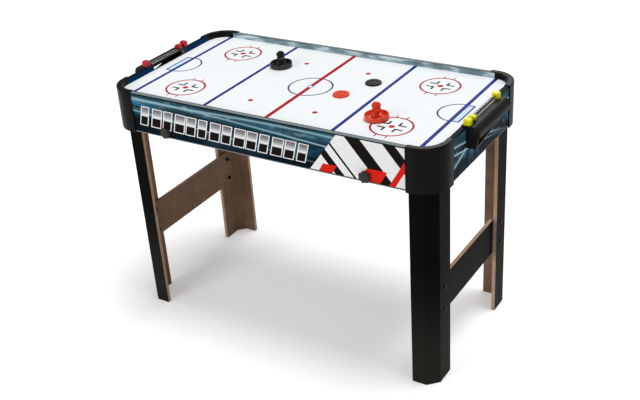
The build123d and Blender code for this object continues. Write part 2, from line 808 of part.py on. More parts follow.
# Switch bezel, its rocker on two pivot pins, and the power inlet, all in the rear apron
pivot_y = apron_y - rocker_sink
pivot = Plane(origin=(switch_place, pivot_y, switch_z), x_dir=(0, 1, 0), z_dir=(1, 0, 0))
pin_reach = rocker_width / 2 + rocker_gap + rocker_pin_bite
with BuildPart() as switch_bezel:
    with BuildSketch(Plane.XZ.offset(-apron_y)):
        with Locations((switch_place, switch_z)):
            Rectangle(switch_width, switch_height)
    extrude(amount=switch_body_depth)
    with BuildSketch(Plane.XZ.offset(-apron_y)):
        with Locations((switch_place, switch_z)):
            RectangleRounded(switch_width + 2 * switch_lip, switch_height + 2 * switch_lip, switch_lip)
    extrude(amount=-switch_lip_thickness)
    with BuildSketch(Plane.XZ.offset(-apron_y - switch_lip_thickness)):
        with Locations((switch_place, switch_z)):
            Rectangle(rocker_width + 2 * rocker_gap, rocker_length + 2 * rocker_gap)
    extrude(amount=rocker_well + switch_lip_thickness, mode=Mode.SUBTRACT)
    with BuildSketch(pivot):
        Circle(rocker_pin_radius + running)
    extrude(amount=pin_reach + fit, both=True, mode=Mode.SUBTRACT)
save(switch_bezel, "switch_bezel")

with BuildPart() as power_rocker:
    with BuildSketch(pivot):
        with BuildLine():
            Polyline(
                (-rocker_foot, -rocker_length * 0.3),
                (rocker_proud + rocker_sink, -rocker_length / 2),
                (rocker_dip + rocker_sink, 0),
                (rocker_proud + rocker_sink, rocker_length / 2),
                (-rocker_foot, rocker_length * 0.3),
                close=True,
            )
        make_face()
    extrude(amount=rocker_width / 2, both=True)
    with BuildSketch(pivot):
        Circle(rocker_pin_radius)
    extrude(amount=pin_reach, both=True)
save(power_rocker, "power_rocker")

with BuildPart() as power_inlet:
    with BuildSketch(Plane.XZ.offset(-apron_y)):
        with Locations((inlet_x, switch_z)):
            Circle(inlet_radius)
    extrude(amount=apron_thickness)
    with BuildSketch(Plane.XZ.offset(-apron_y)):
        with Locations((inlet_x, switch_z)):
            Circle(inlet_flange)
    extrude(amount=-switch_lip_thickness)
    with BuildSketch(Plane.XZ.offset(-apron_y - switch_lip_thickness)):
        with Locations((inlet_x, switch_z)):
            Circle(inlet_bore)
            Circle(inlet_pin, mode=Mode.SUBTRACT)
    extrude(amount=apron_thickness - 2.0, mode=Mode.SUBTRACT)
save(power_inlet, "power_inlet")


# Strikers: a dished base with a raised rim, a neck and a domed knob, over a felt pad
pad_under = field_height + air_gap
striker_under = pad_under + pad_thickness
rim_top = striker_under + striker_rim
knob_top = striker_under + striker_height


def striker(place):
    """A striker standing at a place on the field."""
    x, y = place
    with BuildPart() as mallet:
        with BuildSketch(Plane(origin=(x, y, 0), x_dir=(1, 0, 0), z_dir=(0, -1, 0))):
            with BuildLine():
                Polyline(
                    (0, knob_top),
                    (0, striker_under),
                    (striker_radius - 1.0, striker_under),
                    (striker_radius, striker_under + 2.0),
                    (striker_radius - 1.0, rim_top - 2.0),
                    (striker_radius - striker_wall / 2, rim_top),
                    (striker_radius - striker_wall, rim_top - 1.5),
                    (striker_radius - striker_wall - 1.5, striker_under + striker_floor),
                    (striker_neck + 4.0, striker_under + striker_floor),
                    (striker_neck, striker_under + striker_floor + 6.0),
                    (striker_neck, knob_top - striker_knob - 4.0),
                    (striker_knob, knob_top - striker_knob * 0.75),
                )
                TangentArc((0, knob_top), (striker_knob, knob_top - striker_knob * 0.75), tangent=(1, 0))
            make_face()
        revolve(axis=Axis((x, y, 0), (0, 0, 1)))
    return mallet


def disc(place, radius, under, thickness, bevel):
    """A flat disc on the field, bevelled at both edges where it is a puck."""
    with BuildPart() as plate:
        with BuildSketch(Plane.XY.offset(under)):
            with Locations(place):
                Circle(radius)
        extrude(amount=thickness)
        if bevel:
            chamfer(plate.edges().filter_by(GeomType.CIRCLE), bevel)
    return plate


striker_black = striker(black_striker_at)
save(striker_black, "striker_black")
striker_red = striker(red_striker_at)
save(striker_red, "striker_red")
striker_pad_black = disc(black_striker_at, pad_radius, pad_under, pad_thickness, 0)
save(striker_pad_black, "striker_pad_black")
striker_pad_red = disc(red_striker_at, pad_radius, pad_under, pad_thickness, 0)
save(striker_pad_red, "striker_pad_red")
puck_red = disc(red_puck_at, puck_radius, pad_under, puck_thickness, puck_bevel)
save(puck_red, "puck_red")
puck_black = disc(black_puck_at, puck_radius, pad_under, puck_thickness, puck_bevel)
save(puck_black, "puck_black")
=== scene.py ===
"""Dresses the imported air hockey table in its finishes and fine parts, and sets it on a studio floor."""

import json
import math

import bmesh
import bpy
from bpy.props import FloatProperty, FloatVectorProperty, IntProperty, PointerProperty
from mathutils import Matrix, Vector

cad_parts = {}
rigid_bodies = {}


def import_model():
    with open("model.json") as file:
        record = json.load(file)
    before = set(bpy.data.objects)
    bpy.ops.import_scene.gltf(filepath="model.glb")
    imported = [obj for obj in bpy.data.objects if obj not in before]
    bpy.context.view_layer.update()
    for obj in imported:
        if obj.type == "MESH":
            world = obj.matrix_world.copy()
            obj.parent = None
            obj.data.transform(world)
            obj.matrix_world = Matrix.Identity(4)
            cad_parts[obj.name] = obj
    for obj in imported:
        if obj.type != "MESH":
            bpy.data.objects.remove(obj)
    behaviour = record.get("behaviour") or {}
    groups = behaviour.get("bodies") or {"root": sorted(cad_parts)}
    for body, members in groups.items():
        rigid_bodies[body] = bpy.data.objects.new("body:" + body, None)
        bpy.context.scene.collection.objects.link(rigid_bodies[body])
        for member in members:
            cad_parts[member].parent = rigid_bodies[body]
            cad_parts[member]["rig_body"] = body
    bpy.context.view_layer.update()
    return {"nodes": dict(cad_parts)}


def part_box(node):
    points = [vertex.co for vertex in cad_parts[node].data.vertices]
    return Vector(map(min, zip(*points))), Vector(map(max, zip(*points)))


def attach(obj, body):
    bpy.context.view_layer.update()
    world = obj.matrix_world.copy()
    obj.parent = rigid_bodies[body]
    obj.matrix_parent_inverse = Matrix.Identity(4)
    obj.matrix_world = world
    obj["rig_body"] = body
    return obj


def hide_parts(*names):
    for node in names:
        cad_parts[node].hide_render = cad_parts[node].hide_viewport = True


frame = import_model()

bl_info = {
    "name": "Air Hockey Table",
    "version": (1, 0, 0),
    "blender": (4, 5, 0),
    "location": "View3D > Sidebar > Air Hockey",
    "description": "Finishes and fine parts for a junior air hockey table",
    "category": "Object",
}

MM = 0.001
NODES = frame["nodes"]
CORNERS = ("front_left", "front_right", "rear_left", "rear_right")
SIDES = ("left", "right")
# The aprons, each with the way its outer face looks
APRONS = {"front": (0, -1, 0), "rear": (0, 1, 0), "left": (-1, 0, 0), "right": (1, 0, 0)}
WHITE = (1.0, 1.0, 1.0, 1.0)


# ---------------------------------------------------------------- settings


def linear(code):
    """The linear RGBA of an sRGB hex colour."""
    channels = [int(code[i : i + 2], 16) / 255 for i in (0, 2, 4)]
    return tuple(c / 12.92 if c <= 0.04045 else ((c + 0.055) / 1.055) ** 2.4 for c in channels) + (1.0,)


# Tones that aren't settings: middle of the chromed bars, drifts on the rear apron, studio paper
BAR_GREY = linear("9a9a9d")
DRIFT_TEAL, DRIFT_PALE = linear("8ca6af"), linear("d3e4ea")
PAPER_DARK, PAPER_LIGHT = linear("e9e9e9"), linear("ececec")


def amount(name, description, value):
    """A plain setting."""
    return FloatProperty(name=name, description=description, default=value)


def angle(name, description, degrees):
    """An angle setting, given in degrees."""
    return FloatProperty(name=name, description=description, default=math.radians(degrees), subtype="ANGLE")


def length(name, description, millimetres):
    """A length setting, given in millimetres."""
    return FloatProperty(name=name, description=description, default=millimetres * MM, unit="LENGTH", precision=4)


def colour(name, description, code):
    """A colour setting, given as an sRGB hex code."""
    return FloatVectorProperty(
        name=name, description=description, default=linear(code), subtype="COLOR", size=4, min=0.0, max=1.0
    )


class HockeyColours(bpy.types.PropertyGroup):
    """The colours of the table's finishes."""

    rink_white: colour("Rink white", "Melamine face of the field", "f4f8fa")
    ink_blue: colour("Blue ink", "Blue lines and goal lines", "1a2a86")
    ink_violet: colour("Fine blue ink", "Centre circle and goal creases", "1f2a78")
    ink_red: colour("Red ink", "Centre line", "b0070f")
    ink_brick: colour("Fine red ink", "Face-off circles and their ticks", "ad1218")
    ink_coral: colour("Spot ink", "Face-off spots", "c0241a")
    ink_ice: colour("Crease ink", "Pale fill of the goal creases", "cfe8fb")
    print_night: colour("Print night", "Darkest tone of the ice print", "07141d")
    print_deep: colour("Print deep", "Dark tone of the ice print", "12384c")
    print_teal: colour("Print teal", "Middle tone of the ice print", "4a7d8c")
    print_frost: colour("Print frost", "Light tone of the ice print", "bfe6f2")
    print_sky: colour("Print sky", "Bright streak at the left end", "3f8fc4")
    print_white: colour("Print white", "Outlines and panel ground of the print", "f4f4f4")
    print_black: colour("Print black", "Lower half of the bars and the bands", "1c1716")
    print_grey: colour("Print grey", "Top of the bars", "5c5c5f")
    print_red: colour("Print red", "Wedges of the panel", "e0271d")
    print_navy: colour("Print navy", "Inner face of the left end", "04335c")
    # Painted reflection: this grey stands in for light caught on the aprons' top edges and lower trim
    trim_grey: colour("Trim grey", "Painted reflection on the aprons' edges", "808a8d")
    moulding: colour("Moulding black", "Corner mouldings", "0f0d0d")
    housing: colour("Goal box black", "Goal boxes", "1b1919")
    knob: colour("Knob grey", "Star knobs", "3b3736")
    film: colour("Film black", "Wrapped faces of legs and braces", "0c0b0b")
    # Painted light: the grey the film takes towards its foot stands in for light from the floor
    film_dusty: colour("Film dusty", "Painted floor light on the foot of the legs", "3a3934")
    # The edge tones are paler and the face tones darker: partly the boards' own, partly painted light and painted
    # shade
    mdf_light: colour("MDF light", "Paler fibres of sawn board", "ceb096")
    mdf_dark: colour("MDF dark", "Darker fibres of sawn board", "a5876f")
    mdf_face_light: colour("MDF face light", "Paler fibres of the sanded face", "977862")
    mdf_face_dark: colour("MDF face dark", "Darker fibres of the sanded face", "78604f")
    hardboard: colour("Hardboard", "Base of the air chamber", "7a5a41")
    yellow: colour("Scorer yellow", "Right scorer", "f0ec04")
    red: colour("Scorer red", "Left scorer", "c81f26")
    striker_red: colour("Striker red", "Red striker", "ea4620")
    striker_black: colour("Striker black", "Black striker", "1f1f1a")
    puck_red: colour("Puck red", "Red puck", "e84822")
    puck_black: colour("Puck black", "Black puck", "191a19")
    fan: colour("Fan grey", "Blower housing, guard and rotor", "2d2e31")
    felt: colour("Felt grey", "Pads under the strikers", "4b4d50")
    zinc: colour("Zinc", "Zinc-plated bolts, nuts and rods", "b9bcc0")
    black_oxide: colour("Black oxide", "Blackened bolt heads", "2a2a2c")
    brass: colour("Brass", "Threaded inserts", "c9a24e")


class HockeySizes(bpy.types.PropertyGroup):
    """The sizes of the fine detail."""

    board_edge: length("Board edge", "Softened edge of the boards", 0.7)
    rail_edge: length("Rail edge", "Softened edge of the aprons", 1.4)
    moulding_edge: length("Moulding edge", "Softened edge of the mouldings", 0.8)
    small_edge: length("Small edge", "Softened edge of the small plastic parts", 0.5)
    scorer_edge: length("Scorer edge", "Rounded edge of the scorer's posts and markers", 1.6)
    goal_line: length("Goal line place", "Goal lines from the middle of the field", 506)
    zone_line: length("Blue line place", "Blue lines from the middle of the field", 228)
    wide_line: length("Wide line", "Width of the blue and goal lines", 12.6)
    red_line: length("Centre line", "Width of the red centre line", 14)
    fine_line: length("Fine line", "Width of the circles and creases", 5.4)
    centre_radius: length("Centre circle", "Radius of the centre circle", 70)
    faceoff_radius: length("Face-off circle", "Radius of the face-off circles", 62)
    faceoff_x: length("Face-off X", "Face-off circles along the table", 371)
    faceoff_y: length("Face-off Y", "Face-off circles across the table", 161)
    spot_x: length("Spot X", "Neutral spots along the table", 116)
    spot_y: length("Spot Y", "Neutral spots across the table", 164)
    crease_radius: length("Crease", "Radius of the goal creases", 62)
    tick_pitch: length("Tick pitch", "Spacing of the scorer's ticks", 6.5)
    tick_count: IntProperty(name="Ticks", description="Ticks on each scorer", default=25, min=2, max=60)
    digit_size: length("Digit size", "Height of the scorer's numbers", 10.5)
    knob_lobes: IntProperty(name="Knob lobes", description="Lobes round each star knob", default=7, min=3, max=12)
    base_screw_pitch: length("Base screw pitch", "Spacing of the screws under the base board", 117)


class HockeyStage(bpy.types.PropertyGroup):
    """The camera and the light."""

    azimuth: angle("Azimuth", "Camera heading from the front", 33.12)
    elevation: angle("Elevation", "Camera height above the horizon", 28.8)
    roll: angle("Roll", "Turn about the line of sight", -4.04)
    lens: amount("Lens", "Focal length in millimetres on a 36 mm frame", 57.0)
    place: FloatVectorProperty(
        name="Camera place",
        description="Where the camera stands",
        default=(1.620, -2.475, 2.011),
        subtype="TRANSLATION",
        size=3,
    )
    key: amount("Key light", "Strength of the sun-like overhead light", 2.02)
    fill: amount("Fill light", "Strength of the soft boxes in watts", 15.0)
    sky: amount("Sky light", "Strength of the surrounding light", 0.24)
    floor_lift: amount("Floor lift", "Glow added to the floor as the camera sees it", 0.31)


# ---------------------------------------------------------------- node trees


class Nodes:
    """A node tree under construction, with short names for the nodes it takes most."""

    def __init__(self, tree, family):
        self.tree = tree
        self.family = family

    def join(self, node, links):
        """Links or sets inputs, by name or by number among the live ones. A node stands for its first live output."""
        for key, value in links.items():
            live = [socket for socket in node.inputs if socket.enabled]
            socket = live[key] if isinstance(key, int) else next(s for s in live if s.name == key)
            if isinstance(value, bpy.types.Node):
                value = next(s for s in value.outputs if s.enabled)
            if isinstance(value, bpy.types.NodeSocket):
                self.tree.links.new(value, socket)
            else:
                socket.default_value = value

    def add(self, kind, links=None, **settings):
        """Adds a node of a full type, or of the tree's own family. stops fills a ramp with (place, colour) pairs."""
        node = self.tree.nodes.new(kind if "Node" in kind else self.family + kind)
        for name, value in settings.items():
            if name == "stops":
                ramp = node.color_ramp.elements
                while len(ramp) < len(value):
                    ramp.new(0.5)
                for element, (place, tint) in zip(ramp, value):
                    element.position = place
                    element.color = tint
            else:
                setattr(node, name, value)
        self.join(node, links or {})
        return node

    def calc(self, operation, *values):
        """One step of arithmetic."""
        return self.add("ShaderNodeMath", dict(enumerate(values)), operation=operation)

    def point(self, **parts):
        """A vector from its X, Y and Z."""
        return self.add("ShaderNodeCombineXYZ", parts)


class Paint(Nodes):
    """A material under construction, over the object's own coordinates."""

    def __init__(self, name):
        self.material = bpy.data.materials.new(name)
        self.material.use_nodes = True
        super().__init__(self.material.node_tree, "ShaderNode")
        self.tree.nodes.clear()
        self.place = self.add("TexCoord").outputs["Object"]
        self.shader = self.add("BsdfPrincipled")
        self.add("OutputMaterial", {"Surface": self.shader})

    def split(self):
        """The X, Y and Z of a place on the object, by name."""
        return self.add("SeparateXYZ", {"Vector": self.place}).outputs

    def noise(self, scale, detail, at=None, **more):
        """Noise of so many octaves, over the object's coordinates or over others."""
        return self.add("TexNoise", {"Vector": at or self.place, "Scale": scale, "Detail": detail, **more})

    def over(self, below, mask, tint):
        """A colour laid over another where a mask says."""
        return self.add("Mix", {"Factor": mask, "A": below, "B": tint}, data_type="RGBA")

    def lay(self, mask, tint):
        """Lays one more colour over the print so far."""
        self.print = self.over(self.print, mask, tint)

    def both(self, first, second):
        """The overlap of two masks."""
        return self.calc("MULTIPLY", first, second)

    def slant(self, value, slope, start):
        """A straight line: the value times the slope, from the start."""
        return self.calc("MULTIPLY_ADD", value, slope, start)

    def within(self, value, first, last):
        """One where the value lies between first and last, else nought."""
        return self.calc("COMPARE", value, (first + last) / 2, (last - first) / 2)

    def between(self, noise, low, high):
        """Spreads the middle of a noise over the span between two values."""
        return self.add("MapRange", {"Value": noise, 1: 0.3, 2: 0.7, 3: low, 4: high})

    def fade(self, value, first, last, at_first, at_last, ease="SMOOTHERSTEP"):
        """Runs from one value to another while the given value goes from first to last."""
        links = {"Value": value, 1: first, 2: last, 3: at_first, 4: at_last}
        return self.add("MapRange", links, interpolation_type=ease)

    def bump(self, height, strength, depth):
        """Relief of that depth in millimetres."""
        return self.add("Bump", {"Height": height, "Strength": strength, "Distance": depth * MM})

    def done(self, base, rough, bump, **more):
        """Gives the shader its colour, roughness, relief and the rest, with spaces for underscores in their names."""
        links = {"Base Color": base, "Roughness": rough, "Normal": bump}
        self.join(self.shader, {**links, **{name.replace("_", " "): value for name, value in more.items()}})
        return self.material


# ---------------------------------------------------------------- finishes


def tone(setting):
    """The present value of a colour setting."""
    return tuple(getattr(bpy.context.scene.hockey_colours, setting))


def dimmed(tint, share):
    """An opaque colour at a share of its brightness."""
    return tuple(channel * share for channel in tint[:3]) + (1.0,)


def abs_moulded(name, setting, texture, rough, specular=0.3):
    """Injection-moulded ABS: one colour right through, a spark-eroded texture that scatters soft highlights."""
    paint, full = Paint(name), tone(setting)
    base = paint.over(dimmed(full, 0.82), paint.noise(9.0, 4.0), full)
    spread = paint.between(paint.noise(14.0, 2.0), *rough)
    bump = paint.bump(paint.noise(1 / (texture * MM), 3.0), 0.35, 0.05)
    return paint.done(base, spread, bump, IOR=1.53, Specular_IOR_Level=specular)


def polystyrene_gloss(name, setting, flow):
    """Gloss-moulded polystyrene: a bright, wet-looking skin with faint flow marks."""
    paint, full = Paint(name), tone(setting)
    marks = paint.noise(1 / (flow * MM), 2.0, Distortion=1.2)
    base, bump = paint.over(dimmed(full, 0.86), marks, full), paint.bump(marks, 0.12, 0.1)
    return paint.done(base, paint.between(marks, 0.16, 0.27), bump, IOR=1.59, Specular_IOR_Level=0.3)


def film_wrapped(name):
    """Black PVC film on the outer faces of the boards: satin, with a faint embossed wood grain along the leg, and
    painted light from the floor greying it towards its foot.
    """
    paint = Paint(name)
    # Embossed grain about 1.2 mm across and drawn out along the board's height
    along = paint.add("Mapping", {"Vector": paint.place, "Scale": (830.0, 830.0, 18.0)})
    fibres = paint.noise(1.0, 3.0, along)
    # Painted light from the floor greys the film towards its foot
    floor_bounce = paint.fade(paint.split()["Z"], 0.0, 0.45, 0.5, 0.0, "SMOOTHSTEP")
    base = paint.over(tone("film"), floor_bounce, tone("film_dusty"))
    spread, bump = paint.between(fibres, 0.33, 0.46), paint.bump(fibres, 0.3, 0.06)
    return paint.done(base, spread, bump, IOR=1.52, Specular_IOR_Level=0.015)


def mdf_raw(name, dark, light, fur):
    """Medium density fibreboard: short pale and dark fibres about 1.5 mm long, matt. A sawn edge is more furred than a
    sanded face.
    Its paler tone and the face's darker tone are partly the boards' own, partly painted light on the edges and painted
    shade on the inward faces."""
    paint = Paint(name)
    fibres = paint.noise(650.0, 4.0, Roughness=0.7)
    patches = paint.noise(22.0, 3.0)
    blend = paint.add("Mix", {"Factor": 0.4, "A": fibres.outputs[0], "B": patches.outputs[0]})
    base = paint.add("ValToRGB", {0: blend}, stops=((0.34, tone(dark)), (0.66, tone(light))))
    return paint.done(base, 0.86, paint.bump(fibres, 0.4, fur), Specular_IOR_Level=0.25)


def hardboard_screened(name):
    """Hardboard, screen side down: brown pressed fibre with the 1 mm mesh mark of the press."""
    paint, full = Paint(name), tone("hardboard")
    base = paint.over(dimmed(full, 0.7), paint.noise(300.0, 5.0, Roughness=0.7), full)
    mesh = paint.add("TexVoronoi", {"Vector": paint.place, "Scale": 900.0, "Randomness": 0.15})
    return paint.done(base, 0.8, paint.bump(mesh.outputs["Distance"], 0.5, 0.2))


def metal(name, setting, rough):
    """Plated or plain metal: a fine mottle of the plating in its gloss."""
    paint, full = Paint(name), tone(setting)
    mottle = paint.noise(480.0, 3.0)
    links = {"Base Color": paint.over(dimmed(full, 0.78), mottle, full), "Roughness": paint.between(mottle, *rough)}
    paint.join(paint.shader, {**links, "Metallic": 1.0})
    return paint.material


def felt_pressed(name):
    """Pressed wool felt: tangled 0.4 mm hairs, no gloss, a soft sheen at grazing angles."""
    paint, full = Paint(name), tone("felt")
    hairs = paint.noise(2400.0, 5.0, Distortion=2.0)
    return paint.done(paint.over(dimmed(full, 0.55), hairs, full), 0.95, paint.bump(hairs, 0.7, 0.3), Sheen_Weight=0.4)


def ink(name, full):
    """Pad-printed ink: opaque, semi-matt, a little uneven where it was laid thin."""
    paint = Paint(name)
    base = paint.over(dimmed(full, 0.85), paint.noise(900.0, 2.0), full)
    paint.join(paint.shader, {"Base Color": base, "Roughness": 0.5})
    return paint.material


def rink_printed(name):
    """White melamine with the rink's markings printed under a clear coat: smooth, half gloss, crisp ink edges."""
    paint, sizes = Paint(name), bpy.context.scene.hockey_sizes
    calc, both, split = paint.calc, paint.both, paint.split()
    # The markings are the same in all four quarters, so they are drawn in one folded quarter
    across, aside = calc("ABSOLUTE", split["X"]), calc("ABSOLUTE", split["Y"])
    folded = paint.point(X=across, Y=aside)

    def strip(value, middle, width):
        return calc("COMPARE", value, middle, width / 2)

    def reach(x, y):
        links = {0: folded, 1: (x, y, 0.0)}
        return paint.add("VectorMath", links, operation="DISTANCE").outputs["Value"]

    def either(total, *masks):
        for mask in masks:
            total = calc("MAXIMUM", total, mask)
        return total

    def box(x, y, width, depth):
        return both(strip(across, x, width), strip(aside, y, depth))

    fine, wide, goal = sizes.fine_line, sizes.wide_line, sizes.goal_line
    centre, face, crease = reach(0, 0), reach(sizes.faceoff_x, sizes.faceoff_y), reach(goal, 0)
    # Crease: a half circle before the goal line and a slot behind it
    inside = calc("LESS_THAN", across, goal)
    behind = 25 * MM
    half_mouth = sizes.crease_radius - fine / 2
    slot = box(goal + behind / 2, 0, behind, 2 * half_mouth)
    slot_back = box(goal + behind, 0, fine, 2 * half_mouth + fine)
    slot_side = box(goal + behind / 2, half_mouth, behind, fine)
    half_ring = both(strip(crease, sizes.crease_radius, fine), inside)
    # Face-off circle: two ticks on each side and four hooks round the spot
    local_x = calc("ABSOLUTE", calc("SUBTRACT", across, sizes.faceoff_x))
    local_y = calc("ABSOLUTE", calc("SUBTRACT", aside, sizes.faceoff_y))
    ring = sizes.faceoff_radius

    def mark(x, y, width, depth):
        return both(strip(local_x, x * MM, width * MM), strip(local_y, y * MM, depth * MM))

    ticks = both(strip(local_x, 17 * MM, 4 * MM), strip(local_y, ring + 7 * MM, 14 * MM))
    hooks = either(mark(28, 13, 26, 7.0), mark(17, 22, 7.0, 22))
    spots = either(strip(reach(sizes.spot_x, sizes.spot_y), 0.0, 17 * MM), strip(face, 0.0, 19 * MM))
    layers = (
        (slot, "ink_ice"),
        (either(strip(centre, sizes.centre_radius, fine), half_ring, either(slot_back, slot_side)), "ink_violet"),
        (either(strip(across, sizes.zone_line, wide), strip(across, goal, wide)), "ink_blue"),
        (strip(across, 0.0, sizes.red_line), "ink_red"),
        (either(strip(face, ring, fine + 1.0 * MM), ticks), "ink_brick"),
        (hooks, "print_black"),
        (spots, "ink_coral"),
        (strip(centre, 0.0, 20 * MM), "ink_violet"),
        (strip(centre, 0.0, 14 * MM), "rink_white"),
    )
    # Ink cover wanders by a percent over about 30 mm
    cover = paint.noise(33.0, 2.0)
    opacity = paint.between(cover, 0.99, 1.0)
    white = tone("rink_white")
    paint.print = paint.over(dimmed(white, 0.97), cover, white)
    for mask, setting in layers:
        paint.lay(both(mask, opacity), tone(setting))
    # Orange peel of the clear coat, about 3 mm across
    bump = paint.bump(paint.noise(330.0, 2.0), 0.1, 0.05)
    return paint.done(paint.print, paint.between(cover, 0.34, 0.42), bump, IOR=1.5, Specular_IOR_Level=0.05)


# Streaks of the ice print on the long and the short aprons: level, slope, swing, beat, start, width, strength
STREAKS = {
    "X": (
        (0.7900, -0.010, 0.0070, 5.2, 0.9, 0.0080, 0.70),
        (0.7700, -0.030, 0.0100, 3.4, 2.6, 0.0060, 0.55),
        (0.7180, -0.060, 0.0040, 4.3, 4.4, 0.0050, 0.35),
    ),
    "Y": (
        (0.7760, 0.270, 0.0090, 9.0, 0.5, 0.0120, 0.95),
        (0.7320, -0.250, 0.0050, 12.0, 2.0, 0.0080, 1.00),
        (0.7150, -0.220, 0.0040, 10.0, 1.0, 0.0050, 0.90),
        (0.7950, -0.080, 0.0060, 8.0, 3.0, 0.0080, 0.70),
    ),
}
# Where the ice print's four tones stand in its cloud
CLOUD_STOPS = {"X": (0.38, 0.54, 0.70, 0.90), "Y": (0.52, 0.65, 0.78, 0.94)}
# Black bands of the panel by first and last place; its red wedges with their height too
PANEL_BANDS = ((0.262, 0.292), (0.322, 0.331), (0.402, 0.452), (0.522, 0.562))
PANEL_WEDGES = ((0.200, 0.245, 0.030), (0.335, 0.400, 0.044), (0.428, 0.448, 0.085))


def front_printed(paint, run, height, foot_level):
    """The front apron's own part of the print: a dark left end, a row of chromed bars, a panel of diagonal bands."""
    calc, lay, fade, both, slant, within = paint.calc, paint.lay, paint.fade, paint.both, paint.slant, paint.within
    white, black = tone("print_white"), tone("print_black")
    # The left end is dark, but for two bright wedges at its top
    shade = both(fade(run, -0.50, -0.40, 0.9, 0.0), fade(height, 0.70, 0.76, 1.0, 0.0))
    lay(shade, tone("print_night"))
    slope = slant(run, 0.16, height)
    for low, high, end in ((0.7025, 0.7065, -0.335), (0.6955, 0.6975, -0.37)):
        wedge = both(within(slope, low, high), within(run, -0.50, end))
        lay(wedge, tone("print_sky"))
    # Bars: the row sinks a little and gets lower to the right
    top = slant(run, -0.0238, 0.7591)
    foot = slant(run, -0.0143, 0.6964)
    up = calc("DIVIDE", calc("SUBTRACT", height, foot), calc("SUBTRACT", top, foot))
    leaned = slant(up, -0.016, run)
    cells = calc("DIVIDE", calc("ADD", leaned, 0.462), 0.0451)
    number, share = calc("FLOOR", cells), calc("FRACT", cells)
    broad = slant(calc("FRACT", both(number, 0.618)), 0.22, 0.74)
    in_row = within(cells, 0.0, 14.0)

    def bar(inset):
        after, before = calc("GREATER_THAN", share, inset), calc("LESS_THAN", share, calc("SUBTRACT", broad, inset))
        tall = both(within(up, 0.6 * inset, 1 - 0.6 * inset), in_row)
        return both(both(after, before), tall)

    stops = ((0.47, black), (0.52, white), (0.74, BAR_GREY), (0.97, tone("print_grey")))
    lay(bar(0.0), white)
    lay(bar(0.075), paint.add("ValToRGB", {0: up}, stops=stops))
    # Panel: white ground with black bands leaning one way and red wedges the other
    rise = calc("SUBTRACT", height, foot_level)
    ground = within(slant(rise, -0.743, run), 0.170, 0.60)
    lay(ground, white)
    band = slant(rise, 0.85, run)
    for first, last in PANEL_BANDS:
        lay(both(ground, within(band, first, last)), black)
    lean = slant(rise, -0.60, run)
    for first, last, upper in PANEL_WEDGES:
        patch = both(within(lean, first, last), within(rise, 0.0, upper))
        lay(both(ground, patch), tone("print_red"))


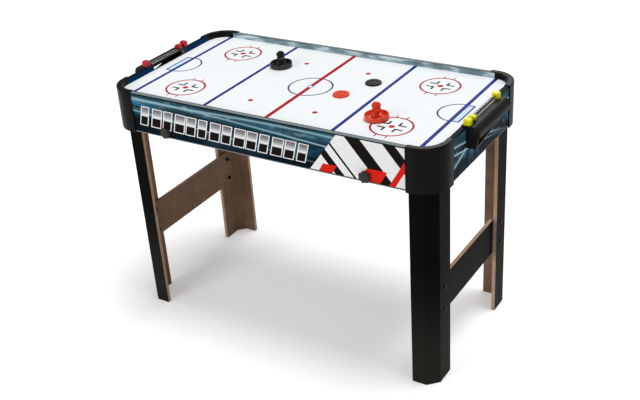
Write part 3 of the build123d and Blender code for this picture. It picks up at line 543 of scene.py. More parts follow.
def ice_printed(name, side):
    """Printed PVC film round an apron: frosty cloud and bright swooping streaks. Gloss film over board, so highlights
    are sharp and a little wavy."""
    paint = Paint(name)
    calc, lay, fade, both, slant, within = paint.calc, paint.lay, paint.fade, paint.both, paint.slant, paint.within
    night, teal, frost, navy = (tone(f"print_{part}") for part in ("night", "teal", "frost", "navy"))
    low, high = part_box(f"apron_{side}")
    axis, other = ("X", "Y") if side in ("front", "rear") else ("Y", "X")
    inner_face = min(abs(low["XY".index(other)]), abs(high["XY".index(other)]))
    split = paint.split()
    run, height, aside = split[axis], split["Z"], calc("ABSOLUTE", split[other])
    # Frost cloud in patches about 200 mm long and 60 mm high
    links = {"Vector": paint.place, "Rotation": (0.0, 0.16, 0.0), "Scale": (5.0, 5.0, 17.0)}
    flow = paint.add("Mapping", links)
    cloud = paint.noise(1.0, 7.0, flow, Roughness=0.6, Distortion=0.7)
    stops = tuple(zip(CLOUD_STOPS[axis], (night, tone("print_deep"), teal, frost)))
    paint.print = paint.add("ValToRGB", {0: cloud}, stops=stops)
    if axis == "Y":
        # Blue light breaks through at the ends, in patches about 60 mm across
        glimmer = paint.noise(13.0, 3.0, Distortion=0.8)
        lay(fade(glimmer, 0.51, 0.66, 0.0, 0.85), tone("print_sky"))
        lay(fade(glimmer, 0.62, 0.75, 0.0, 0.85), frost)
    for rest, slope, swing, beat, begin, width, strength in STREAKS[axis]:
        wave = calc("SINE", slant(run, beat, begin))
        line = slant(run, slope, slant(wave, swing, rest))
        off = calc("ABSOLUTE", calc("SUBTRACT", height, line))
        lay(both(fade(off, 0.0, width, strength, 0.0), cloud), frost)
        # The streak's bright core is 3 mm wide
        lay(fade(off, 0.0006, 0.0024, strength, 0.0), frost)
    # A teal haze with rime in it hangs in the upper third
    haze = both(fade(height, high.z - 52 * MM, high.z - 22 * MM, 0.0, 0.75), cloud)
    lay(haze, teal)
    rime = paint.noise(3.2, 5.0, flow, Roughness=0.7)
    lay(both(haze, fade(rime, 0.50, 0.72, 0.0, 1.0)), frost)
    # Ice specks about 2 mm across
    specks = paint.add("TexVoronoi", {"Vector": paint.place, "Scale": 160.0})
    dots = fade(specks.outputs["Distance"], 0.06, 0.16, 0.4, 0.0)
    lay(both(dots, cloud), frost)
    # The print darkens towards the lower edge and a little under the top edge
    lay(fade(height, low.z + 6 * MM, low.z + 62 * MM, 0.88, 0.0), night)
    lay(fade(height, high.z - 14 * MM, high.z - 5 * MM, 0.0, 0.5), night)
    if side == "front":
        front_printed(paint, run, height, low.z)
    # Dark borders along both edges, the lowest strip grey as its trim, a painted reflection on the lower edge, then
    # the top edge, grey on the long aprons as a painted reflection
    lay(within(height, low.z - 10 * MM, low.z + 4.5 * MM), night)
    lay(within(height, low.z - 10 * MM, low.z + 2.4 * MM), tone("trim_grey"))
    lay(within(height, high.z - 4.5 * MM, high.z + 10 * MM), night)
    # On the long aprons the top edge is painted grey as a reflection; on the ends it stays dark
    crest = fade(height, high.z - 1.4 * MM, high.z - 0.2 * MM, 0.0, 1.0)
    lay(crest, tone("trim_grey") if axis == "X" else night)
    # A painted shadow line along the top edge's inner side, next to the field
    lay(both(crest, within(aside, inner_face - 1 * MM, inner_face + 4 * MM)), night)
    # The face towards the field has its own tone
    facing = within(aside, inner_face - 0.6 * MM, inner_face + 0.6 * MM)
    if side == "rear":
        # Drifts of frost about 90 mm long, pale over teal
        links = {"Vector": paint.place, "Rotation": (0.0, 0.5, 0.0), "Scale": (11.0, 11.0, 40.0)}
        snow = paint.noise(1.0, 4.0, paint.add("Mapping", links), Distortion=0.4)
        lay(both(facing, 0.6), DRIFT_TEAL)
        lay(both(facing, fade(snow, 0.40, 0.62, 0.0, 0.9)), DRIFT_PALE)
    else:
        lay(facing, navy)
    peel = paint.noise(220.0, 2.0)
    gloss, bump = paint.between(peel, 0.24, 0.34), paint.bump(peel, 0.12, 0.06)
    return paint.done(paint.print, gloss, bump, IOR=1.5, Specular_IOR_Level=0.015)


# Each finish by its maker, its material's name and the maker's other arguments
FINISHES = {
    "rink": (rink_printed, "Melamine_printed_rink"),
    **{f"print_{side}": (ice_printed, f"PVC_film_ice_print_{side}", side) for side in APRONS},
    "film": (film_wrapped, "PVC_film_black_satin"),
    # Edge and face finishes: partly the board's own difference, partly painted light on the edges and painted shade on
    # the faces
    "mdf": (mdf_raw, "MDF_sawn_edge", "mdf_dark", "mdf_light", 0.2),
    "mdf_face": (mdf_raw, "MDF_sanded_face", "mdf_face_dark", "mdf_face_light", 0.08),
    "hardboard": (hardboard_screened, "Hardboard_screen_side"),
    # The trim's grey is a painted reflection on the aprons' lower edges
    "trim": (abs_moulded, "PVC_edge_trim_grey", "trim_grey", 1.5, (0.35, 0.45)),
    "moulding": (abs_moulded, "ABS_textured_black", "moulding", 0.9, (0.21, 0.29), 0.08),
    "housing": (abs_moulded, "ABS_satin_black", "housing", 0.7, (0.34, 0.44), 0.13),
    "knob": (abs_moulded, "Nylon_moulded_grey", "knob", 0.6, (0.42, 0.52), 0.15),
    "fan": (abs_moulded, "ABS_fan_grey", "fan", 0.8, (0.40, 0.50)),
    "puck_red": (abs_moulded, "ABS_puck_red", "puck_red", 1.2, (0.30, 0.38), 0.15),
    "puck_black": (abs_moulded, "ABS_puck_black", "puck_black", 1.2, (0.30, 0.38), 0.12),
    "coated": (abs_moulded, "Steel_coated_black", "black_oxide", 0.5, (0.32, 0.42), 0.12),
    "yellow": (polystyrene_gloss, "Polystyrene_yellow", "yellow", 9),
    "red": (polystyrene_gloss, "Polystyrene_red", "red", 9),
    "striker_red": (polystyrene_gloss, "Polystyrene_striker_red", "striker_red", 14),
    "striker_black": (polystyrene_gloss, "Polystyrene_striker_black", "striker_black", 14),
    "felt": (felt_pressed, "Felt_pressed_wool"),
    "zinc": (metal, "Steel_zinc_plated", "zinc", (0.26, 0.40)),
    "black_oxide": (metal, "Steel_black_oxide", "black_oxide", (0.34, 0.46)),
    "brass": (metal, "Brass_turned", "brass", (0.24, 0.34)),
    "white_ink": (ink, "Pad_printed_white", linear("f8f8f8")),
}


def finish(name):
    """The finish of that name, made once."""
    scene = bpy.context.scene
    made = scene.get("hockey_finishes", {})
    if name not in made:
        maker, *given = FINISHES[name]
        material = maker(*given)
        scene["hockey_finishes"] = {**dict(made), name: material.name}
        return material
    return bpy.data.materials[made[name]]


# ---------------------------------------------------------------- pieces


def cleaned(node):
    """A CAD node's mesh with its doubles merged and its flat faces joined, as a bmesh."""
    bm = bmesh.new()
    bm.from_mesh(NODES[node].data)
    bmesh.ops.remove_doubles(bm, verts=bm.verts, dist=2e-6)
    bmesh.ops.dissolve_limit(bm, angle_limit=math.radians(0.4), verts=bm.verts, edges=bm.edges)
    return bm


def new_piece(name, bm, body, finishes, stands_for=(), edge=0.0, sharp=32):
    """A piece from a bmesh, riding on its body, with softened edges where edge is given."""
    mesh = bpy.data.meshes.new(name)
    bm.to_mesh(mesh)
    bm.free()
    for part in finishes:
        mesh.materials.append(finish(part))
    mesh.polygons.foreach_set("use_smooth", [True] * len(mesh.polygons))
    mesh.set_sharp_from_angle(angle=math.radians(sharp))
    piece = bpy.data.objects.new(name, mesh)
    bpy.context.scene.collection.objects.link(piece)
    if edge:
        bevel = piece.modifiers.new("Edge", "BEVEL")
        bevel.width = edge
        bevel.segments = 2
        bevel.limit_method = "ANGLE"
        bevel.angle_limit = math.radians(sharp)
        bevel.harden_normals = True
    if stands_for:
        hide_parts(*stands_for)
    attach(piece, body)
    return piece


def dressed(node, suffix, finishes, edge, pick=None, split_at=None, sharp=32):
    """A finished copy of a CAD node that stands for it. pick gives each face its finish; split_at cuts at a height."""
    bm = cleaned(node)
    if split_at is not None:
        cut = bm.verts[:] + bm.edges[:] + bm.faces[:]
        bmesh.ops.bisect_plane(bm, geom=cut, plane_co=(0, 0, split_at), plane_no=(0, 0, 1))
    if pick:
        for face in bm.faces:
            face.material_index = pick(face.normal, face.calc_center_median())
    return new_piece(f"{node}_{suffix}", bm, NODES[node]["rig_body"], finishes, (node,), edge, sharp)


def painted(node, name):
    """Gives a CAD node that stays as it is its finish."""
    mesh = NODES[node].data
    mesh.materials.clear()
    mesh.materials.append(finish(name))


def lathed(name, section, node, body, steps, sharp):
    """A turned piece in place of a CAD node, about its upright axis, from (radius, height) points in millimetres."""
    low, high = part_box(node)
    x, y = (low.x + high.x) / 2, (low.y + high.y) / 2
    bm = bmesh.new()
    verts = [bm.verts.new((x + reach * MM, y, low.z + rise * MM)) for reach, rise in section]
    geom = verts + [bm.edges.new(pair) for pair in zip(verts, verts[1:])]
    bmesh.ops.spin(bm, geom=geom, cent=(x, y, 0), axis=(0, 0, 1), angle=math.tau, steps=steps, use_merge=True)
    bmesh.ops.remove_doubles(bm, verts=bm.verts, dist=1e-6)
    bmesh.ops.recalc_face_normals(bm, faces=bm.faces)
    return new_piece(name, bm, body, (node,), (node,), 0.0, sharp)


def rounded(points, steps):
    """A profile of (x, y, radius) corners as plain points, each corner turned to an arc of its radius."""
    line = []
    for before, here, after in zip([points[0]] + points, points, points[1:] + [points[-1]]):
        corner = Vector(here[:2])
        back, on = Vector(before[:2]) - corner, Vector(after[:2]) - corner
        if not here[2] or not back.length or not on.length:
            line.append(tuple(corner))
            continue
        half = back.angle(on) / 2
        set_back = min(here[2] / math.tan(half), back.length / 2, on.length / 2)
        radius = set_back * math.tan(half)
        centre = corner + (back.normalized() + on.normalized()).normalized() * radius / math.sin(half)
        first, last = (corner + way.normalized() * set_back - centre for way in (back, on))
        arc = [first] + [first.slerp(last, step / steps) for step in range(1, steps)] + [last]
        line += [tuple(centre + reach) for reach in arc]
    return line


def grown(name, tree, inputs, body):
    """Runs a node tree on an empty mesh and returns its result as a plain piece on a body."""
    holder = bpy.data.objects.new(name, bpy.data.meshes.new(name))
    bpy.context.scene.collection.objects.link(holder)
    modifier = holder.modifiers.new("Grow", "NODES")
    modifier.node_group = tree
    for item in tree.interface.items_tree:
        if item.item_type == "SOCKET" and item.in_out == "INPUT" and item.name in inputs:
            modifier[item.identifier] = inputs[item.name]
    bpy.context.view_layer.update()
    shaped = holder.evaluated_get(bpy.context.evaluated_depsgraph_get())
    mesh = bpy.data.meshes.new_from_object(shaped)
    mesh.name = name
    holder.modifiers.clear()
    holder.data = mesh
    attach(holder, body)
    return holder


def growing(name, **sockets):
    """A geometry node tree with named inputs, the sockets of those inputs by name, and its output node."""
    tree = bpy.data.node_groups.new(name, "GeometryNodeTree")
    tree.interface.new_socket("Geometry", in_out="OUTPUT", socket_type="NodeSocketGeometry")
    for label, (kind, value) in sockets.items():
        socket = tree.interface.new_socket(label.replace("_", " "), in_out="INPUT", socket_type="NodeSocket" + kind)
        socket.default_value = value
    nodes = Nodes(tree, "GeometryNode")
    return nodes, nodes.add("NodeGroupInput").outputs, nodes.add("NodeGroupOutput")


class PieceOperator(bpy.types.Operator):
    """Base of the operators that make the table's pieces. Its plan holds the plain ones: nodes, finish, the new
    name's ending and the softened edge, as a setting or in millimetres. Without an ending the CAD mesh stays."""

    bl_options = {"REGISTER"}
    plan = ()

    def execute(self, context):
        """Carries out the plan, then makes the rest with the scene's sizes."""
        sizes = context.scene.hockey_sizes
        for nodes, name, *dress in self.plan:
            for node in nodes.split():
                if dress:
                    ending, edge = dress
                    edge = getattr(sizes, edge) if isinstance(edge, str) else edge * MM
                    dressed(node, ending, (name,), edge)
                else:
                    painted(node, name)
        self.make(sizes)
        return {"FINISHED"}

    def make(self, sizes):
        """Makes the pieces that need more than a finish."""


class HOCKEY_OT_field(PieceOperator):
    """Playing field with its printed rink, and the air chamber under it"""

    bl_idname = "hockey.field"
    bl_label = "Field and Air Chamber"
    plan = (("playfield", "rink"), ("chamber_battens chamber_blocks", "mdf_face"), ("chamber_base", "hardboard"))

    def make(self, sizes):
        """Screws the base on."""
        nodes, given, out = growing(
            "Screws round an edge",
            Pitch=("Float", 0.1),
            Half_length=("Float", 0.5),
            Half_width=("Float", 0.2),
            Level=("Float", 0.0),
        )
        add, slit, long = nodes.add, 0.8 * MM, 3.6 * MM
        width, height = (nodes.calc("MULTIPLY", given[half], 2.0) for half in ("Half length", "Half width"))
        ring = add("CurvePrimitiveQuadrilateral", {"Width": width, "Height": height})
        ring = add("FilletCurve", {"Curve": ring, "Radius": 66 * MM, "Count": 6}, mode="POLY")
        spots = add("CurveToPoints", {"Curve": ring, "Length": given["Pitch"]}, mode="LENGTH")
        # Each head is a flattened ball with a cross recess
        ball = add("MeshUVSphere", {"Segments": 14, "Rings": 8, "Radius": 3.4 * MM})
        head = add("Transform", {"Geometry": ball, "Scale": (1.0, 1.0, 0.42)})
        cross = add("MeshBoolean", {"Mesh": add("MeshCube", {"Size": (slit, long, slit)})}, operation="UNION")
        nodes.join(cross, {"Mesh": add("MeshCube", {"Size": (long, slit, slit)})})
        recess = add("Transform", {"Geometry": cross, "Translation": (0.0, 0.0, -1.35 * MM)})
        screw = add("MeshBoolean", {0: head, "Mesh 2": recess}, operation="DIFFERENCE")
        screws = add("RealizeInstances", {0: add("InstanceOnPoints", {"Points": spots, "Instance": screw})})
        placed = add("SetPosition", {"Geometry": screws, "Offset": nodes.point(Z=given["Level"])})
        smooth = add("SetShadeSmooth", {"Geometry": placed, "Shade Smooth": True})
        nodes.join(out, {0: add("SetMaterial", {"Geometry": smooth, "Material": finish("black_oxide")})})
        low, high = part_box("chamber_base")
        inset = 15 * MM
        grown("base_screws", nodes.tree, {
            "Pitch": sizes.base_screw_pitch,
            "Half length": high.x - inset,
            "Half width": high.y - inset,
            "Level": low.z,
        }, "table")


class HOCKEY_OT_aprons(PieceOperator):
    """The four apron boards: printed film outside, on the top edge and inside above the field, raw board elsewhere"""

    bl_idname = "hockey.aprons"
    bl_label = "Aprons"

    def make(self, sizes):
        """Wraps each board and gives its lower edge a trim, grey as a painted reflection."""
        field_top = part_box("playfield")[1].z
        for side, way in APRONS.items():
            node, outward = f"apron_{side}", Vector(way)
            low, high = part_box(node)

            def pick(normal, middle, outward=outward, top=high.z):
                facing = normal.dot(outward)
                if facing > 0.9 or (normal.z > 0.9 and middle.z > top - MM):
                    return 0
                if facing < -0.9:
                    return 0 if middle.z > field_top - 2 * MM else 2
                return 1

            dressed(node, "wrapped", (f"print_{side}", "mdf", "mdf_face"), sizes.rail_edge, pick, field_top - MM)
            # Half-round trim pressed on the lower edge, nearly as wide as the board and 2.6 mm deep
            along = Vector((0, 0, 1)).cross(outward)
            middle = Vector(((low.x + high.x) / 2, (low.y + high.y) / 2, low.z))
            half = abs((high - low).dot(along)) / 2 - 15 * MM
            bm = bmesh.new()
            rings = []
            for end in (-half, half):
                turns = (math.pi * step / 8 for step in range(9))
                arc = (Vector((0, 0, -2.6 * MM * math.sin(t))) + outward * (7.4 * MM * math.cos(t)) for t in turns)
                rings.append([bm.verts.new(middle + along * end + spot) for spot in arc])
            first, last = rings
            for step in range(8):
                bm.faces.new((first[step], first[step + 1], last[step + 1], last[step]))
            for ring in ((first[0], last[0], last[-1], first[-1]), first, last):
                bm.faces.new(ring)
            bmesh.ops.recalc_face_normals(bm, faces=bm.faces)
            # The trim's grey finish is a painted reflection on the lower edge
            new_piece(f"edge_trim_{side}", bm, "table", ("trim",), sharp=50)


class HOCKEY_OT_corners(PieceOperator):
    """The four rounded corner mouldings"""

    bl_idname = "hockey.corners"
    bl_label = "Corner Mouldings"
    plan = ((" ".join(f"corner_{corner}" for corner in CORNERS), "moulding", "moulded", "moulding_edge"),)


class HOCKEY_OT_legs(PieceOperator):
    """Folded panel legs and their braces: black film outside, raw board inside and on the cut edges"""

    bl_idname = "hockey.legs"
    bl_label = "Legs and Braces"

    def make(self, sizes):
        """Wraps each leg's outer faces and each brace's outer face."""
        faces = ("film", "mdf", "mdf_face")
        for corner in CORNERS:
            low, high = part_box(f"leg_{corner}")
            ways = [math.copysign(1, low[axis] + high[axis]) for axis in (0, 1)]
            outer = [high[axis] if ways[axis] > 0 else low[axis] for axis in (0, 1)]
            inner = [low[axis] + high[axis] - outer[axis] for axis in (0, 1)]

            def pick(normal, middle, ways=ways, outer=outer, inner=inner):
                facing = [normal[axis] * ways[axis] for axis in (0, 1)]
                outside = any(facing[axis] > 0.9 and abs(middle[axis] - outer[axis]) < MM for axis in (0, 1))
                if outside or min(facing) > 0.5:
                    return 0
                on_end = any(facing[axis] < -0.9 and abs(middle[axis] - inner[axis]) < MM for axis in (0, 1))
                return 1 if on_end or abs(normal.z) > 0.9 else 2

            dressed(f"leg_{corner}", "wrapped", faces, sizes.board_edge, pick)
        for side, way in zip(SIDES, (-1, 1)):

            def pick(normal, middle, way=way):
                return 0 if normal.x * way > 0.9 else 2 if normal.x * way < -0.9 else 1

            dressed(f"brace_{side}", "wrapped", faces, sizes.board_edge, pick)


class HOCKEY_OT_fasteners(PieceOperator):
    """Bolts, washers, nuts and screws"""

    bl_idname = "hockey.fasteners"
    bl_label = "Fasteners"
    plan = (
        ("brace_bolts", "black_oxide", "blackened", 0.3),
        ("brace_nuts", "black_oxide", "blackened", 0.4),
        ("brace_washers", "black_oxide", "blackened", 0.2),
        ("leg_bolts", "zinc", "plated", 0.4),
        ("goal_screws fan_screws", "zinc"),
        ("knob_inserts", "brass"),
    )


class HOCKEY_OT_goals(PieceOperator):
    """Goal boxes outside the ends"""

    bl_idname = "hockey.goals"
    bl_label = "Goal Boxes"
    plan = (("goal_box_left goal_box_right", "housing", "moulded", "moulding_edge"),)


class HOCKEY_OT_scorers(PieceOperator):
    """Scorers: end posts, rod, sliding marker and a strip with ticks and numbers"""

    bl_idname = "hockey.scorers"
    bl_label = "Scorers"
    plan = (
        ("score_strip_left score_strip_right", "housing", "printed", 0.3),
        ("score_posts_left score_marker_left", "red", "moulded", "scorer_edge"),
        ("score_posts_right score_marker_right", "yellow", "moulded", "scorer_edge"),
        ("score_rod_left score_rod_right", "coated"),
    )

    def make(self, sizes):
        """Prints the scale of each scorer."""
        scale = self.scale(sizes.tick_count // 2 + 1)
        for side, facing in (("left", math.pi), ("right", 0.0)):
            low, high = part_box(f"score_strip_{side}")
            grown(f"score_scale_{side}", scale, {
                "Ticks": sizes.tick_count,
                "Pitch": sizes.tick_pitch,
                "Middle": ((low.x + high.x) / 2, 0.0, high.z + 0.08 * MM),
                "Facing": facing,
                "Digit size": sizes.digit_size,
            }, "table")

    def scale(self, numbers):
        """The tree that prints a row of ticks and, at every second one, its number."""
        nodes, given, out = growing(
            "Scale of ticks and numbers",
            Ticks=("Int", 21),
            Pitch=("Float", 8 * MM),
            Middle=("Vector", (0.0, 0.0, 0.0)),
            Facing=("Float", 1.0),
            Digit_size=("Float", 5 * MM),
        )
        add, calc, pitch = nodes.add, nodes.calc, given["Pitch"]
        half = calc("MULTIPLY", calc("SUBTRACT", given["Ticks"], 1.0), -0.5)
        links = {"Count": given["Ticks"], "Start Location": nodes.point(Y=calc("MULTIPLY", half, pitch))}
        row = add("MeshLine", {**links, "Offset": nodes.point(Y=pitch)})
        tick = add("MeshCube", {"Size": (6.4 * MM, 2.4 * MM, 0.12 * MM)})
        near = add("Transform", {"Geometry": tick, "Translation": (6.0 * MM, 0.0, 0.0)})
        joined = add("JoinGeometry", {0: add("InstanceOnPoints", {"Points": row, "Instance": near})})
        for number in range(numbers):
            links = {"String": str(number), "Size": given["Digit size"]}
            text = add("RealizeInstances", {0: add("StringToCurves", links, align_x="CENTER", align_y="MIDDLE")})
            spot = nodes.point(X=-5.4 * MM, Y=calc("MULTIPLY", pitch, float(2 * number - numbers + 1)))
            links = {"Geometry": add("FillCurve", {"Curve": text}), "Rotation": (0.0, 0.0, math.pi / 2)}
            turned = add("Transform", {**links, "Translation": spot})
            nodes.join(joined, {0: turned})
            # Twice more, a hair aside, for a bold face
            for aside in (-0.55, 0.55):
                shift = (0.0, aside * MM, 0.03 * MM * aside)
                nodes.join(joined, {0: add("Transform", {"Geometry": turned, "Translation": shift})})
        links = {"Geometry": add("RealizeInstances", {0: joined}), "Rotation": nodes.point(Z=given["Facing"])}
        placed = add("Transform", {**links, "Translation": given["Middle"]})
        nodes.join(out, {0: add("SetMaterial", {"Geometry": placed, "Material": finish("white_ink")})})
        return nodes.tree


# Star knob from its back to its front: share of the radius, share of the depth, how far its lobes show
KNOB_ROWS = (
    (0.0, 0.0, 0.0), (0.45, 0.0, 0.0), (0.90, 0.0, 0.5), (0.97, 0.10, 1.0), (1.0, 0.28, 1.0),
    (1.0, 0.62, 1.0), (0.96, 0.80, 0.95), (0.84, 0.93, 0.8), (0.62, 0.985, 0.35), (0.50, 0.95, 0.0),
    (0.44, 0.94, 0.0), (0.38, 0.99, 0.0), (0.20, 1.0, 0.0), (0.0, 1.0, 0.0),
)


class HOCKEY_OT_knobs(PieceOperator):
    """Star knobs on the front apron"""

    bl_idname = "hockey.knobs"
    bl_label = "Star Knobs"
    plan = (("knob_stud_left knob_stud_right", "zinc"),)

    def make(self, sizes):
        """Shapes each knob as a lobed dome with a round centre."""
        lobes = sizes.knob_lobes
        around = 12 * lobes
        for side in SIDES:
            node = f"knob_{side}"
            low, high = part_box(node)
            first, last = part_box(f"knob_stud_{side}")
            centre = (first + last) / 2
            radius, depth = (high.z - low.z) / 2, high.y - low.y
            bm = bmesh.new()
            rings = []
            for share, out, lobed in KNOB_ROWS:
                ring = []
                for step in range(around):
                    turn = math.tau * step / around
                    reach = radius * share * (1 - 0.085 * lobed * (1 - math.cos(lobes * turn)))
                    x, z = centre.x + reach * math.cos(turn), centre.z + reach * math.sin(turn)
                    ring.append(bm.verts.new((x, high.y - out * depth, z)))
                rings.append(ring)
            for first, second in zip(rings, rings[1:]):
                for step in range(around):
                    after = (step + 1) % around
                    bm.faces.new((first[step], first[after], second[after], second[step]))
            bmesh.ops.remove_doubles(bm, verts=bm.verts, dist=1e-7)
            bmesh.ops.recalc_face_normals(bm, faces=bm.faces)
            new_piece(f"{node}_star", bm, f"star_{node}", ("knob",), (node,), sharp=45)


class HOCKEY_OT_blower(PieceOperator):
    """Blower under the air chamber: housing, guard, rotor, motor and shaft"""

    bl_idname = "hockey.blower"
    bl_label = "Blower"
    plan = (
        ("fan_housing", "fan", "moulded", "small_edge"),
        ("fan_guard", "fan", "moulded", 0.25),
        ("fan_rotor", "housing", "moulded", 0.4),
        ("fan_motor", "zinc", "plated", "small_edge"),
        ("fan_shaft", "zinc"),
    )


class HOCKEY_OT_switch(PieceOperator):
    """Switch and power inlet on the rear apron"""

    bl_idname = "hockey.switch"
    bl_label = "Switch and Inlet"
    plan = (
        ("switch_bezel", "housing", "moulded", "small_edge"),
        ("power_rocker", "red", "moulded", 0.3),
        ("power_inlet", "housing", "moulded", 0.4),
    )

    def make(self, sizes):
        """Prints the rocker's bar and ring."""
        low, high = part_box("power_rocker")
        middle = (low + high) / 2
        # The rocker's two halves slope from the middle dip to its raised lips
        for name, sign in (("rocker_mark_on", 1), ("rocker_mark_off", -1)):
            bm = bmesh.new()
            if sign > 0:
                bmesh.ops.create_grid(bm, x_segments=1, y_segments=1, size=1.0)
                bmesh.ops.scale(bm, vec=(0.35 * MM, 1.5 * MM, 1), verts=bm.verts)
            else:
                radii = (1.5 * MM, 0.95 * MM)
                outer, inner = (bmesh.ops.create_circle(bm, segments=28, radius=reach)["verts"] for reach in radii)
                for step in range(28):
                    after = (step + 1) % 28
                    bm.faces.new((outer[step], outer[after], inner[after], inner[step]))
            slope = math.atan2(1.5, 6.5) * sign
            lay = Matrix.Translation((middle.x, high.y - 0.69 * MM, middle.z + sign * 3.25 * MM))
            turn = Matrix.Rotation(math.pi, 4, "Z") @ Matrix.Rotation(math.pi / 2 + slope, 4, "X")
            bmesh.ops.transform(bm, matrix=lay @ turn, verts=bm.verts)
            for face in bm.faces:
                face.normal_update()
                if face.normal.y < 0:
                    face.normal_flip()
            new_piece(name, bm, "rocker", ("white_ink",))


# Half sections from the middle of the underside to the middle of the top: radius, height, corner radius, in mm
STRIKER_SECTION = [
    (0, 0.6, 0), (30, 0.6, 0.5), (31, 0, 0.6), (35.4, 0, 1.4), (37, 2.4, 1.6), (36.4, 13.2, 1.2), (34.9, 15, 1.5),
    (33.3, 13.6, 1.0), (32, 4.6, 3.2), (15, 3.7, 4.5), (8.8, 10.4, 6.0), (8.5, 32, 6.0), (13.9, 38.6, 3.2),
    (13.9, 43.5, 5.0), (9.2, 50.6, 6.0),
]
PUCK_SECTION = [
    (0, 0.35, 0), (14, 0.35, 0.4), (15, 0, 0.4), (24.6, 0, 0.6), (26, 1.2, 0.8),
    (26, 3.8, 0.8), (24.6, 5, 0.6), (15, 5, 0.4), (14, 4.65, 0.4), (0, 4.65, 0),
]


class HOCKEY_OT_strikers(PieceOperator):
    """The two strikers on their felt pads, and the two pucks"""

    bl_idname = "hockey.strikers"
    bl_label = "Strikers and Pucks"
    plan = (("striker_pad_black striker_pad_red", "felt"),)

    def make(self, sizes):
        """Turns each striker and puck."""
        for tint in ("black", "red"):
            striker, puck = f"striker_{tint}", f"puck_{tint}"
            low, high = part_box(striker)
            crown = (0, (high.z - low.z) / MM, 0)
            lathed(f"{striker}_turned", rounded(STRIKER_SECTION + [crown], 7), striker, f"{tint}_mallet", 96, 40)
            lathed(f"{puck}_moulded", rounded(PUCK_SECTION, 4), puck, f"{tint}_puck", 80, 50)


# Soft boxes: where each hangs, its width, and its share of the fill light
SOFT_BOXES = {
    "soft_box_front": ((-1.0, -3.2, 1.9), 1.8, 3.0),
    "soft_box_right": ((3.0, -0.6, 2.2), 1.6, 0.15),
    "soft_box_rear": ((-0.6, 3.2, 2.6), 1.8, 1.3),
}


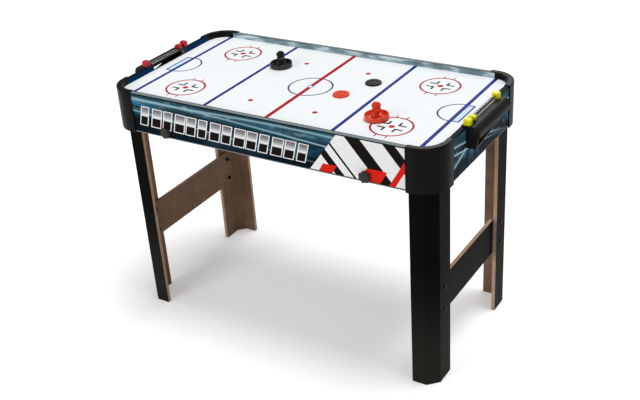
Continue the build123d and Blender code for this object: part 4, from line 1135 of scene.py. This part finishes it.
class HOCKEY_OT_stage(bpy.types.Operator):
    """Pale floor, soft studio light and the camera"""

    bl_idname = "hockey.stage"
    bl_label = "Stage"

    def execute(self, context):
        """Builds the floor, the lights, the world and the camera."""
        scene = context.scene
        stage = scene.hockey_stage
        mesh = bpy.data.meshes.new("studio_floor")
        reach = 14.0
        ring = [(-reach, -reach, 0), (reach, -reach, 0), (reach, reach, 0), (-reach, reach, 0)]
        mesh.from_pydata(ring, [], [(0, 1, 2, 3)])
        mesh.materials.append(self.floor_finish(stage.floor_lift))
        self.set_up(scene, mesh)
        sun = bpy.data.lights.new("overhead", "SUN")
        sun.energy = stage.key
        sun.angle = math.radians(28)
        self.aim(self.set_up(scene, sun), (0.50, 0.30, 3.0), (0, 0, 0.4))
        for name, (spot, size, share) in SOFT_BOXES.items():
            lamp = bpy.data.lights.new(name, "AREA")
            lamp.shape = "RECTANGLE"
            lamp.size = size
            lamp.size_y = size * 0.7
            lamp.energy = stage.fill * share
            self.aim(self.set_up(scene, lamp), spot, (0, 0, 0.75))
        self.make_world(scene, stage.sky)
        camera = bpy.data.cameras.new("camera")
        camera.lens = stage.lens
        camera.sensor_width = 36.0
        camera.clip_end = 60.0
        scene.camera = self.set_up(scene, camera)
        scene.camera.matrix_world = (
            Matrix.Translation(stage.place)
            @ Matrix.Rotation(stage.azimuth, 4, "Z")
            @ Matrix.Rotation(math.pi / 2 - stage.elevation, 4, "X")
            @ Matrix.Rotation(stage.roll, 4, "Z")
        )
        scene.view_settings.view_transform = "Standard"
        return {"FINISHED"}

    def set_up(self, scene, data):
        """Puts a mesh, lamp or camera into the scene under its own name."""
        holder = bpy.data.objects.new(data.name, data)
        scene.collection.objects.link(holder)
        return holder

    def aim(self, holder, spot, target):
        """Moves a lamp to a spot and turns it to a target."""
        holder.location = spot
        holder.rotation_euler = (Vector(target) - Vector(spot)).to_track_quat("-Z", "Y").to_euler()

    def floor_finish(self, lift):
        """Matt white seamless paper: it keeps the shadow, and the camera sees it a little brighter."""
        paint = Paint("Seamless_paper_white")
        base = paint.add("ValToRGB", {0: paint.noise(900.0, 2.0)}, stops=((0.3, PAPER_DARK), (0.7, PAPER_LIGHT)))
        seen = paint.add("LightPath").outputs["Is Camera Ray"]
        paint.join(paint.shader, {
            "Base Color": base,
            "Roughness": 0.9,
            "Specular IOR Level": 0.1,
            "Emission Color": WHITE,
            "Emission Strength": paint.calc("MULTIPLY", seen, lift),
        })
        return paint.material

    def make_world(self, scene, strength):
        """Even grey-white light from all round, seen as white by the camera."""
        world = bpy.data.worlds.new("studio")
        world.use_nodes = True
        nodes = Nodes(world.node_tree, "ShaderNode")
        nodes.tree.nodes.clear()
        seen = nodes.add("LightPath").outputs["Is Camera Ray"]
        glow = nodes.add("MapRange", {"Value": seen, 1: 0.0, 2: 1.0, 3: strength, 4: 1.0})
        sky = nodes.add("Background", {"Color": WHITE, "Strength": glow})
        nodes.add("OutputWorld", {"Surface": sky})
        scene.world = world


class HOCKEY_PT_panel(bpy.types.Panel):
    """Lists the table's settings and the operators that make its pieces"""

    bl_idname = "HOCKEY_PT_panel"
    bl_label = "Air Hockey Table"
    bl_space_type = "VIEW_3D"
    bl_region_type = "UI"
    bl_category = "Air Hockey"

    def draw(self, context):
        """Draws the settings and one button for each operator."""
        for group in (context.scene.hockey_sizes, context.scene.hockey_colours, context.scene.hockey_stage):
            box = self.layout.box()
            for name in group.__annotations__:
                box.prop(group, name)
        for operator in OPERATORS:
            self.layout.operator(operator.bl_idname)


OPERATORS = (
    HOCKEY_OT_field,
    HOCKEY_OT_aprons,
    HOCKEY_OT_corners,
    HOCKEY_OT_legs,
    HOCKEY_OT_fasteners,
    HOCKEY_OT_goals,
    HOCKEY_OT_scorers,
    HOCKEY_OT_knobs,
    HOCKEY_OT_blower,
    HOCKEY_OT_switch,
    HOCKEY_OT_strikers,
    HOCKEY_OT_stage,
)
CLASSES = (HockeyColours, HockeySizes, HockeyStage, *OPERATORS, HOCKEY_PT_panel)


def register():
    """Registers the classes and hangs the settings on the scene."""
    for part in CLASSES:
        bpy.utils.register_class(part)
    bpy.types.Scene.hockey_colours = PointerProperty(type=HockeyColours)
    bpy.types.Scene.hockey_sizes = PointerProperty(type=HockeySizes)
    bpy.types.Scene.hockey_stage = PointerProperty(type=HockeyStage)


def unregister():
    """Takes the settings and the classes away again."""
    del bpy.types.Scene.hockey_stage
    del bpy.types.Scene.hockey_sizes
    del bpy.types.Scene.hockey_colours
    for part in reversed(CLASSES):
        bpy.utils.unregister_class(part)


def main():
    """Makes every piece and the stage."""
    register()
    for operator in OPERATORS:
        group, name = operator.bl_idname.split(".")
        getattr(getattr(bpy.ops, group), name)()
    bpy.context.view_layer.update()


if __name__ == "__main__":
    main()
